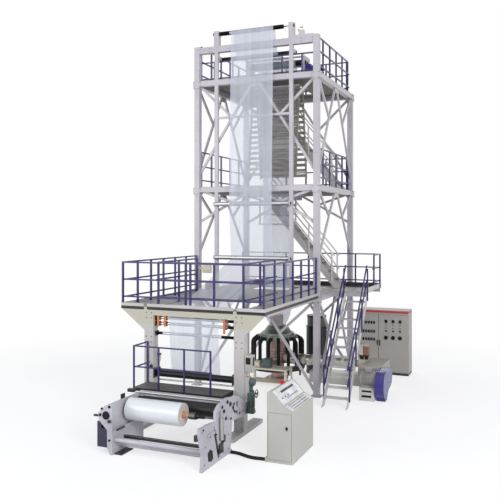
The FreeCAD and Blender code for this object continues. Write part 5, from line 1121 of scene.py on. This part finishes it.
# %% Front rail of the top floor
rail_y, rail_levels, rail_post = -1.680, (9.440, 8.960), 0.018
top_rail = [blocks((-1.740, rail_y - 0.018, z), (1.740, rail_y + 0.018, z + 0.036), 0.004)
            for z in rail_levels]
top_rail += [blocks((x - rail_post, rail_y - rail_post, 8.900), (x + rail_post, rail_y + rail_post, 9.440),
                    0.003)
             for x in (-1.350, -0.760, 0.760, 1.350)]
make("top_front_rail", *joined(*top_rail), violet, "rails")

# %% [markdown]
# ## The die and the air ring
#
# The die is a stack of turned steel with heater bands clamped round it; the air ring has a rim of cap screws
# and a lip that guides the air on to the film. Each is a turned profile.

# %% Die rings and heater bands
die_bands = []
for low, high in ((0.52, 0.60), (0.62, 0.70), (0.72, 0.80), (0.82, 0.90)):
    die_bands.append(turned([(low, 0.216), (low, 0.229), (low + 0.008, 0.232), (high - 0.008, 0.232),
                             (high, 0.229), (high, 0.216)],
                            (0, 0, 0), "z", 64, hollow=True))
make("die_bands", *joined(*die_bands), die_steel, "die_steel")
ears = np.array([(0.0, -0.236, z) for z in (0.56, 0.66, 0.76, 0.86)])
make("band_ears", *blocks(ears - [0.020, 0.012, 0.028], ears + [0.020, 0.012, 0.028], 0.003), bolt_metal,
     "roller_steel")
turn = np.linspace(0, 2 * np.pi, 24, endpoint=False)
around = np.column_stack([np.cos(turn), np.sin(turn), np.zeros(24)])
make("die_bolts", *bolts(around * 0.250 + [0, 0, 0.505], (0, 0, 1), 0.008), bolt_metal, "roller_steel")
make("air_ring_bolts", *joined(bolts(around * 0.530 + [0, 0, 1.330], (0, 0, 1), 0.011),
                               bolts(around * 0.470 + [0, 0, 1.400], (0, 0, 1), 0.009)), bolt_metal,
     "roller_steel")
make("air_ring_lips", *joined(
    turned([(0.0, 0.556), (0.0, 0.567), (0.014, 0.570), (0.028, 0.567), (0.028, 0.556)], (0, 0, 1.18), "z",
           72, hollow=True),
    turned([(0.0, 0.556), (0.0, 0.567), (0.014, 0.570), (0.024, 0.567), (0.024, 0.556)], (0, 0, 1.306), "z",
           72, hollow=True),
    turned([(0.0, 0.330), (0.0, 0.352), (0.010, 0.352), (0.010, 0.330)], (0, 0, 1.530), "z", 72, hollow=True),
), ring_metal, "air_ring_metal")
print("die dressed")

# %% [markdown]
# ## Blower and table trims

# %% Blower trim and table things
make("blower_rims", *joined(
    turned([(0.0, 0.295), (0.0, 0.312), (0.012, 0.316), (0.040, 0.312), (0.046, 0.295)], (0.9, 1.15, 1.776),
           "z", 56, hollow=True),
    turned([(0.0, 0.326), (0.0, 0.340), (0.030, 0.342), (0.034, 0.326)], (0.9, 1.15, 1.452), "z", 56,
           hollow=True),
    turned([(0.0, 0.326), (0.0, 0.340), (0.030, 0.342), (0.034, 0.326)], (0.9, 1.15, 0.020), "z", 56,
           hollow=True),
), black, "blower_paint")
make("table_box", *joined(blocks((-0.34, -1.28, 0.550), (-0.10, -1.08, 0.690), 0.010),
                          blocks((-0.35, -1.29, 0.680), (-0.09, -1.07, 0.700), 0.004)), cream, "cream_paint")
make("table_case", *joined(blocks((0.02, -1.34, 0.550), (0.26, -1.10, 0.80), 0.012),
                           blocks((0.05, -1.352, 0.60), (0.23, -1.340, 0.76), 0.004)), lamp_green,
     "dark_metal")

# %% [markdown]
# ## Extruder and motor
#
# Under its guard the barrel carries heater bands, and the motor is a finned cylinder with a fan cowl, a
# terminal box and a lifting eye. Fins are one turned profile that steps in and out along the axis.

# %% Barrel bands and motor
barrel = []
for start in np.arange(0.46, 2.38, 0.24):
    barrel.append(turned([(0.0, 0.146), (0.0, 0.156), (0.006, 0.159), (0.174, 0.159), (0.18, 0.156),
                          (0.18, 0.146)],
                         (start, 0, 0.620), "x", 48, hollow=True))
make("barrel_guards", *joined(*barrel), sheet_metal, "hopper_metal")
MOTOR = (0.0, -1.560, 0.550)
fin_at = np.arange(3.060, 3.300, 0.022)
fin_rows = [row for at in fin_at
            for row in ((at, 0.190), (at, 0.210), (at + 0.010, 0.210), (at + 0.010, 0.190))]
make("motor_fins", *turned(fin_rows, MOTOR, "x", 64), motor_grey, "drive_paint")
EYE_X, EYE_LEVEL, EYE_RADIUS = 3.05, 0.752, 0.030
half_turn = turn[:13]
lifting_eye = np.column_stack([np.full(13, EYE_X), MOTOR[1] + EYE_RADIUS * np.cos(half_turn),
                               EYE_LEVEL + EYE_RADIUS * np.sin(half_turn)])
make("motor_flanges", *joined(
    turned([(2.986, 0.060), (2.990, 0.180), (3.004, 0.206), (3.046, 0.206), (3.046, 0.190)], MOTOR, "x", 64),
    turned([(3.320, 0.190), (3.322, 0.216), (3.346, 0.216), (3.350, 0.190)], MOTOR, "x", 64),
    turned([(3.396, 0.190), (3.398, 0.212), (3.420, 0.212), (3.424, 0.100)], MOTOR, "x", 64),
    blocks((3.11, -1.64, 0.745), (3.29, -1.48, 0.830), 0.010),
    blocks((3.10, -1.65, 0.822), (3.30, -1.47, 0.838), 0.004),
    tube(lifting_eye, 0.008, 8, above=(1, 0, 0)),
), motor_grey, "drive_paint")
# The slots in the white base are black blocks on its faces: painted shade for the dark inside of each slot.
slots_low = [(3.06, -1.806, 0.235), (3.06, -1.806, 0.095)]
slots_high = [(3.32, -1.797, 0.285), (3.32, -1.797, 0.155)]
make("base_slot_shade", *blocks(slots_low, slots_high, 0.006), black_plastic, "dark_metal")
make("base_side_slot_shade",
     *blocks([(3.397, -1.70, 0.235), (3.397, -1.70, 0.095)], [(3.406, -1.42, 0.285), (3.406, -1.42, 0.155)],
             0.004),
     black_plastic, "dark_metal")

# %% Belt guard trim
GUARD, GUARD_FACE, BOLT_CIRCLE = (0, -1.56, 0.42), 3.670, 0.30
rim = []
for low in (3.428, 3.652):
    rim.append(turned([(low, 0.340), (low, 0.366), (low + 0.004, 0.368), (low + 0.016, 0.366),
                       (low + 0.018, 0.340)], GUARD, "x", 72, hollow=True))
make("guard_rims", *joined(*rim), blue, "drive_paint")
guard_spots = [(GUARD_FACE, GUARD[1] + BOLT_CIRCLE * math.cos(a), GUARD[2] + BOLT_CIRCLE * math.sin(a))
               for a in turn[::3]]
make("guard_bolts", *bolts(guard_spots, (1, 0, 0), 0.010),
     bolt_metal, "roller_steel")

# %% Hopper lids and throats
lids = []
for x in (2.640, 2.780):
    lids.append(blocks((x - 0.064, -0.126, 1.146), (x + 0.064, 0.126, 1.162), 0.004))
    lids.append(turned([(1.162, 0.030), (1.170, 0.034), (1.178, 0.020)], (x, 0, 0), "z", 20))
make("hopper_lids", *joined(*lids), sheet_metal, "hopper_metal")
print("extruder dressed")

# %% [markdown]
# ## Front frame
#
# On the right column of the front frame sit a switch box with a dark window, and the gear of the nip roller:
# a geared motor, a hand wheel and its guard. The left column carries a small black knob, and thin pneumatic
# cylinders press the nip from both sides.

# %% Switch box and gear
make("switch_box_trim", *joined(blocks((1.392, -5.812, 1.420), (1.555, -5.799, 1.780), 0.006)), sheet_metal,
     "cabinet_paint")
make("switch_window", *joined(blocks((1.415, -5.818, 1.590), (1.530, -5.812, 1.740), 0.004),
                              blocks((1.564, -5.77, 1.55), (1.570, -5.68, 1.74), 0.003)), black_plastic,
     "dark_metal")
WHEEL_X, WHEEL_Y, WHEEL_Z, WHEEL_RADIUS, NIP_Z = 1.640, -5.725, 0.940, 0.085, 1.190
gear = [
    turned([(1.488, 0.040), (1.492, 0.090), (1.520, 0.098), (1.560, 0.098), (1.600, 0.070), (1.604, 0.020)],
           (0, WHEEL_Y, NIP_Z), "x", 36),
    turned([(1.486, 0.060), (1.490, 0.075), (1.560, 0.075), (1.566, 0.050)], (0, WHEEL_Y, WHEEL_Z), "x", 36),
    blocks((1.492, -5.79, 0.97), (1.532, -5.66, 1.16), 0.008),
]
make("nip_gear", *joined(*gear), lamp_green, "dark_metal")
wheel_turn = np.linspace(0, 2 * np.pi, 29)
wheel = np.column_stack([np.full(29, WHEEL_X), WHEEL_Y + WHEEL_RADIUS * np.cos(wheel_turn),
                         WHEEL_Z + WHEEL_RADIUS * np.sin(wheel_turn)])
spokes = []
for a in (0.4, 2.49, 4.59):
    rim_end = (WHEEL_X, WHEEL_Y + WHEEL_RADIUS * math.cos(a), WHEEL_Z + WHEEL_RADIUS * math.sin(a))
    spokes.append(tube([(WHEEL_X, WHEEL_Y, WHEEL_Z), rim_end], 0.007, 8, above=(1, 0, 0)))
make("hand_wheel", *joined(tube(wheel, 0.009, 8, above=(1, 0, 0)), *spokes,
                           turned([(1.566, 0.012), (1.650, 0.012), (1.652, 0.022), (1.662, 0.018)],
                                  (0, WHEEL_Y, WHEEL_Z), "x", 20)),
     black_plastic, "dark_metal")


# %% Nip cylinders and knobs
def cylinder_between(start, end, radius, rod_share=0.45, rod_radius=0.35):
    """A pneumatic cylinder from start to end: barrel with two end caps, then a thin rod."""
    start, end = np.asarray(start, float), np.asarray(end, float)
    shares = np.array([0, 0, 0.04, 0.04, 1 - rod_share - 0.04, 1 - rod_share - 0.04, 1 - rod_share,
                       1 - rod_share, 1.0])
    widths = np.array([0.6, 1.15, 1.15, 1.0, 1.0, 1.15, 1.15, rod_radius, rod_radius]) * radius
    shares = shares + np.arange(9) * 1e-4
    return tube(start + shares[:, None] * (end - start), widths, 16, above=(1, 0, 0))


nip_arms = []
for x in (-0.885, 1.085):
    nip_arms.append(cylinder_between((x, -5.60, 1.62), (x, -5.66, 1.32), 0.026))
make("nip_cylinders", *joined(*nip_arms), sheet_metal, "roller_steel")
make("nip_brackets", *joined(
    blocks([(-0.915, -5.80, 1.275), (1.075, -5.80, 1.275)], [(-0.865, -5.60, 1.325), (1.125, -5.60, 1.325)],
           0.006),
    blocks([(-0.925, -5.86, 1.10), (1.095, -5.86, 1.10)], [(-0.895, -5.80, 1.30), (1.125, -5.80, 1.30)],
           0.006),
    blocks([(-0.940, -5.66, 1.60), (1.060, -5.66, 1.60)], [(-0.860, -5.58, 1.64), (1.140, -5.58, 1.64)],
           0.004),
    turned([(-0.935, 0.015), (-0.965, 0.018), (-0.968, 0.040), (-0.990, 0.044), (-0.998, 0.030)],
           (0, -5.87, 1.37), "x", 24),
), black, "dark_metal")
make("rear_bar", *turned(rounded_end(0.020, -0.936, 1.136), (0, -5.645, 1.03), "x", 24), sheet_metal,
     "roller_steel")
make("collar_plates", *blocks([(-0.868, -5.775, 2.30), (-0.693, -5.775, 2.30), (0.842, -5.775, 2.22)],
                              [(-0.812, -5.768, 2.564), (-0.637, -5.768, 2.564), (0.898, -5.768, 2.564)],
                              0.002),
     copper, "roller_steel")
print("front frame dressed")

# %% [markdown]
# ## Winder
#
# The winder's right plate is busy: bosses, gear covers and holes, an upright cylinder that lifts the roll,
# a black nose hook for the core shaft, and a slot low down. The holes and the slot are drawn as dark solids
# on the face: painted shade for their dark insides. The left side has its drive cover and hooks.

# %% Winder plate
FACE = 1.560


def boss(y, z, radius, proud, dish=0.0):
    """A turned boss on the outer face of the right plate."""
    return turned([(0.0, radius), (proud * 0.7, radius), (proud, radius * 0.9),
                   (proud, radius * 0.35 + dish), (proud * 0.6, radius * 0.3)],
                  (FACE, y, z), "x", 32)


dark_rounds = [(-7.355, 1.03, 0.034), (-7.10, 1.075, 0.040), (-6.96, 1.00, 0.048), (-7.02, 0.83, 0.060),
               (-6.83, 0.90, 0.036),
               (-7.27, 0.93, 0.040), (-6.75, 0.80, 0.030), (-7.18, 0.76, 0.036), (-6.94, 0.70, 0.030),
               (-8.20, 0.80, 0.020),
               (-7.90, 0.60, 0.022), (-7.62, 0.56, 0.018)]
make("plate_gears", *joined(*[boss(y, z, radius, 0.014) for y, z, radius in dark_rounds]), dark_steel,
     "dark_metal")
make("plate_bosses", *joined(
    boss(-7.402, 0.800, 0.075, 0.050), boss(-7.010, 0.830, 0.110, 0.026), boss(-6.45, 0.80, 0.075, 0.030),
    blocks([(FACE, -7.30, 0.42), (FACE, -8.02, 0.60)],
           [(FACE + 0.020, -7.16, 0.60), (FACE + 0.016, -7.70, 0.66)], 0.004),
), winder_paint, "winder_paint")
# The slot is a dark solid on the plate: painted shade for the dark inside of the slot.
slot_rows = np.array([(-7.84, 0.10), (-7.98, 0.14), (-8.00, 0.30), (-7.90, 0.35), (-7.80, 0.30),
                      (-7.76, 0.14)])
slot_points = np.vstack([np.column_stack([np.full(6, FACE + off), slot_rows]) for off in (-0.002, 0.004)])
slot_faces = [[0, 1, 2, 3, 4, 5], [11, 10, 9, 8, 7, 6]] + [[i, (i + 1) % 6, 6 + (i + 1) % 6, 6 + i]
                                                           for i in range(6)]
make("plate_slot_shade", slot_points, slot_faces, dark_steel, "dark_metal")
make("lift_cylinder",
     *joined(cylinder_between((1.605, -7.46, 0.42), (1.605, -7.50, 1.00), 0.040, 0.25, 0.45)), sheet_metal,
     "roller_steel")
make("plate_black", *joined(
    blocks([(FACE, -7.52, 0.14), (FACE, -7.40, 0.34)],
           [(FACE + 0.030, -7.34, 0.34), (FACE + 0.060, -7.30, 0.48)], 0.008),
    leaning(blocks((1.44, -8.30, 0.66), (1.498, -7.78, 0.72), 0.010), (1.47, -8.0, 0.69), 8),
    blocks([(1.42, -8.32, 0.60), (1.43, -7.86, 0.56)], [(1.496, -8.24, 0.72), (1.494, -7.76, 0.70)], 0.010),
), black, "dark_metal")
plate_spots = [(FACE, y, z) for y,
               z in ((-8.14, 0.12), (-8.10, 0.45), (-7.72, 0.72), (-7.30, 0.12), (-7.05, 0.12), (-7.05, 0.40),
                                        (-6.30, 0.70), (-6.62, 0.72), (-6.62, 0.98), (-7.45, 0.70),
                     (-7.20, 1.10), (-8.24, 0.76))]
make("plate_bolts", *bolts(plate_spots, (1, 0, 0), 0.012), bolt_metal, "roller_steel")

# %% Winder beam, tube and gear motor
make("beam_cover", *blocks([(-0.576, -6.886, 0.924), (-0.576, -7.632, 0.238)],
                           [(1.500, -6.794, 1.016), (1.500, -7.568, 0.302)], 0.006), black, "dark_metal")
make("beam_tube", *turned(rounded_end(0.020, -0.900, 1.500), (0, -6.960, 1.045), "x", 24), sheet_metal,
     "roller_steel")
make("winder_gear", *joined(
    turned([(0.66, 0.030), (0.664, 0.085), (0.700, 0.092), (0.716, 0.078), (0.980, 0.078), (0.990, 0.086),
            (1.030, 0.086), (1.040, 0.030)],
           (1.655, -6.080, 0), "z", 32),
    *[turned([(z, 0.076), (z, 0.087), (z + 0.010, 0.087), (z + 0.010, 0.076)], (1.655, -6.080, 0), "z", 32,
             hollow=True)
      for z in np.arange(0.740, 0.960, 0.024)],
    blocks((1.560, -6.150, 0.600), (1.740, -6.010, 0.668), 0.010)), lamp_green, "dark_metal")
make("roll_end_arm", *blocks([(-0.900, -7.000, 1.030), (-0.940, -7.200, 0.800)],
                             [(-0.720, -6.900, 1.100), (-0.914, -7.050, 1.020)], 0.006), black, "dark_metal")
# The holes are black blocks on the plate's face: painted shade for the dark inside of each hole.
holes = np.array([(-6.780, 0.960, 0.100, 0.060), (-6.620, 0.930, 0.050, 0.110),
                  (-6.800, 0.860, 0.050, 0.070), (-6.640, 0.760, 0.090, 0.045),
                  (-6.480, 0.690, 0.070, 0.040)])
hole_middles = np.column_stack([np.full(len(holes), FACE + 0.001), holes[:, :2]])
hole_halves = np.column_stack([np.full(len(holes), 0.003), holes[:, 2:] / 2])
make("plate_hole_shade", *blocks(hole_middles - hole_halves, hole_middles + hole_halves, 0.002), black_plastic,
     "dark_metal")
slope = leaning(blocks((FACE - 0.002, -7.645, 0.060), (FACE + 0.004, -7.575, 0.690), 0.002),
                (FACE, -7.610, 0.375), 19)
make("plate_groove", *slope, black_plastic, "dark_metal")

# %% Winder left side
make("left_bosses", *joined(*[
    turned([(0.0, radius), (-0.012, radius), (-0.018, radius * 0.85), (-0.018, radius * 0.3)],
           (x, -8.050, z), "y", 28)
    for x, z, radius in ((-0.720, 0.800, 0.085), (-0.860, 0.800, 0.030), (-0.640, 0.980, 0.030),
                         (-0.820, 0.930, 0.026), (-0.640, 0.30, 0.024))]),
     dark_steel, "dark_metal")
make("left_hooks", *joined(
    blocks([(-1.040, -8.04, 0.750), (-0.660, -8.10, 0.66)], [(-0.915, -7.98, 0.790), (-0.600, -8.05, 0.72)],
           0.008),
    blocks([(-0.620, -7.98, 0.000), (-0.575, -7.90, 0.46)], [(-0.390, -7.54, 0.025), (-0.545, -7.62, 0.50)],
           0.006),
), black, "dark_metal")
make("cover_louvres",
     *blocks([(-1.028, -7.86 + 0.09 * i, 0.20) for i in range(6)],
             [(-1.018, -7.82 + 0.09 * i, 0.50) for i in range(6)], 0.003),
     dark_steel, "dark_metal")
make("roll_shaft_collar",
     *turned([(1.005, 0.030), (1.010, 0.052), (1.040, 0.056), (1.060, 0.040), (1.200, 0.036), (1.206, 0.026)],
                                  (0, *ROLL_AXIS), "x", 28), dark_steel, "dark_metal", body="film_roll")
print("winder dressed")

# %% [markdown]
# ## Console
#
# The console's two sloping faces carry a pale foil with rows of switches; a red emergency button and a white
# beacon stand on its top, and a lock is in the front. Each slope is described by the line (x, z) down it, and
# a piece on it is a block turned about Y by the slope's angle.


# %% Console panels
def on_slope(top, bottom, share, y, size, proud):
    """Blocks on a slope: share is how far down, y the place, size (down, along) and proud the height."""
    top, bottom = np.array(top), np.array(bottom)
    down = bottom - top
    angle = math.degrees(math.atan2(-down[1], down[0]))
    shapes = []
    for one_share, one_y in zip(np.ravel(share), np.ravel(y)):
        spot = top + down * one_share
        centre = np.array([spot[0], one_y, spot[1]])
        flat = blocks(centre - [size[0] / 2, size[1] / 2, 0.0], centre + [size[0] / 2, size[1] / 2, proud],
                      min(0.003, proud / 2))
        shapes.append(leaning(flat, centre, angle, "y"))
    return joined(*shapes)


STEEP = ((2.540, 1.400), (2.800, 1.120))
SHALLOW = ((2.800, 1.120), (2.990, 1.030))
CONSOLE_MIDDLE = (-7.180 - 5.860) / 2
make("panel_foils", *joined(on_slope(*STEEP, 0.5, CONSOLE_MIDDLE, (0.34, 1.22), 0.003),
                            on_slope(*SHALLOW, 0.5, CONSOLE_MIDDLE, (0.18, 1.22), 0.003)), panel_foil,
     "cabinet_paint")
row_y = CONSOLE_MIDDLE + np.linspace(-0.52, 0.52, 14)
steep_rows = [on_slope(*STEEP, np.full(9, 0.30), row_y[3:12], (0.050, 0.066), 0.008),
              on_slope(*STEEP, np.full(3, 0.62), row_y[[1, 3, 5]], (0.030, 0.030), 0.016)]
shallow_rows = [on_slope(*SHALLOW, np.full(12, share), row_y[1:13], (0.020, 0.030), 0.012)
                for share in (0.22, 0.5, 0.78)]
make("console_switches", *joined(*steep_rows, *shallow_rows), black_plastic, "dark_metal")
make("console_dials", *joined(on_slope(*STEEP, np.full(8, 0.72), row_y[4:12], (0.034, 0.034), 0.006)),
     violet, "navy_paint")
make("emergency_button",
     *turned([(0.0, 0.028), (0.022, 0.028), (0.024, 0.058), (0.040, 0.062), (0.054, 0.050), (0.058, 0.016)],
                                 (2.497, -6.42, 1.384), "z", 36), red_plastic, "cabinet_paint")
make("beacon", *turned([(0.0, 0.036), (0.010, 0.036), (0.012, 0.026), (0.070, 0.026), (0.078, 0.016)],
                       (2.497, -5.98, 1.384), "z", 28), white_plastic, "cabinet_paint")
make("console_lock",
     *joined(turned([(0.0, 0.026), (-0.010, 0.024), (-0.014, 0.012)], (2.870, -7.180, 0.699), "y", 24),
                             blocks((2.862, -7.200, 0.660), (2.878, -7.190, 0.740), 0.003)), black_plastic,
     "dark_metal")
seams_low = [(2.480, -7.182, 0.060), (2.480, -7.182, 0.980), (2.476, -7.182, 0.060), (2.966, -7.182, 0.060)]
seams_high = [(2.966, -7.179, 0.064), (2.966, -7.179, 0.984), (2.480, -7.179, 0.984), (2.970, -7.179, 0.984)]
make("console_seams", *blocks(seams_low, seams_high, 0.001), dark_steel, "dark_metal")

# %% [markdown]
# ## Control cabinets
#
# The right door has three round black meters under three rows of lamps; the left door has three rows of
# square controllers. These ride on the doors, so they swing with them. Black gaps, handles and a side seam
# give the sheet-metal look.

# %% Cabinet doors
DOOR = 1.670
meter_shapes, rim_shapes = [], []
for x in (3.006, 3.225, 3.442):
    meter_shapes.append(turned([(0.0, 0.062), (-0.020, 0.062), (-0.026, 0.054), (-0.022, 0.050),
                                (-0.022, 0.010)], (x, DOOR, 1.160), "y", 36))
    rim_shapes.append(turned([(0.0, 0.017), (-0.010, 0.016), (-0.014, 0.008)], (x, DOOR, 1.560), "y", 20))
    rim_shapes.append(turned([(0.0, 0.017), (-0.010, 0.016), (-0.014, 0.008)], (x, DOOR, 1.460), "y", 20))
    rim_shapes.append(blocks((x - 0.045, DOOR - 0.006, 1.62), (x + 0.045, DOOR, 1.72), 0.002))
    rim_shapes.append(blocks((x - 0.030, DOOR - 0.006, 1.34), (x + 0.030, DOOR, 1.39), 0.002))
make("door_meters", *joined(*meter_shapes), black_plastic, "dark_metal", body="right_cabinet_door")
make("door_lamps", *joined(*rim_shapes), dark_steel, "dark_metal", body="right_cabinet_door")
window_lows, window_highs = [], []
for z in (1.615, 1.330, 1.085):
    for x in 2.290 + 0.085 * np.arange(5):
        window_lows.append((x - 0.032, DOOR - 0.008, z - 0.046))
        window_highs.append((x + 0.032, DOOR, z + 0.046))
window_lows, window_highs = np.array(window_lows), np.array(window_highs)
make("controller_frames",
     *blocks(window_lows - [0.006, 0, 0.006], window_highs + [0.006, -0.004, 0.006], 0.002), sheet_metal,
     "cabinet_paint", body="left_cabinet_door")
make("controllers", *blocks(window_lows, window_highs, 0.003), black_plastic, "dark_metal",
     body="left_cabinet_door")
for name, at in (("left_cabinet_door", 2.735), ("right_cabinet_door", 2.815)):
    make(f"{name}_handle", *joined(
        blocks((at - 0.014, DOOR - 0.022, 0.90), (at + 0.014, DOOR - 0.012, 1.08), 0.004),
        blocks([(at - 0.010, DOOR - 0.014, 0.915), (at - 0.010, DOOR - 0.014, 1.045)],
               [(at + 0.010, DOOR, 0.935), (at + 0.010, DOOR, 1.065)], 0.003)), dark_steel, "dark_metal",
         body=name)
make("cabinet_seams", *blocks(
    [(2.766, 1.669, 0.106), (3.699, 1.76, 0.10), (3.699, 2.24, 0.10), (3.699, 1.76, 1.90),
     (2.104, 1.76, 0.10)],
    [(2.774, 1.676, 1.874), (3.702, 1.766, 1.90), (3.702, 2.246, 1.90), (3.702, 2.246, 1.906),
     (2.106, 1.766, 1.90)], 0.001),
     dark_steel, "dark_metal")
print("cabinets dressed")

# %% [markdown]
# ## Bearings and small bolts
#
# Each bearing block has a round cap and two bolts on its open side, and the guide arms have caps.

# %% Caps
caps, spots, faces_to = [], [], []
for y, z, radius in ((-5.70, 2.500, 0.040), (-5.70, 2.362, 0.040), (-5.70, 2.135, 0.040),
                     (-5.70, 1.190, 0.065)):
    for x, sign in ((-0.895, 1), (1.095, -1)):
        for side in (-0.040, 0.040):
            spots.append((x, y + side * (radius / 0.040), z + side * (radius / 0.040)))
            faces_to.append((sign, 0, 0))
for y, z in ((-1.995, 5.290), (-1.995, 3.760), (-1.500, 9.560)):
    for x, sign in ((-1.210, -1), (1.120, 1)):
        caps.append(turned([(0.0, 0.040), (0.010 * sign, 0.040), (0.016 * sign, 0.030),
                            (0.016 * sign, 0.010)], (x, y, z), "x", 24))
for x, sign in ((-1.265, -1), (1.175, 1)):
    caps.append(turned([(0.0, 0.052), (0.012 * sign, 0.052), (0.018 * sign, 0.040), (0.018 * sign, 0.012)],
                       (x, -1.870, 10.210), "x", 28))
make("journal_caps", *joined(*caps), black, "dark_metal")
make("bearing_bolts", *bolts(spots, faces_to, 0.008), bolt_metal, "roller_steel")
make("top_motor_trim", *joined(
    turned([(1.318, 0.030), (1.322, 0.038), (1.300, 0.040), (1.292, 0.020)], (0, -1.850, 10.065), "x", 28),
    blocks((1.345, -1.896, 10.130), (1.445, -1.815, 10.142), 0.004)), yellow_paint, "cream_paint")
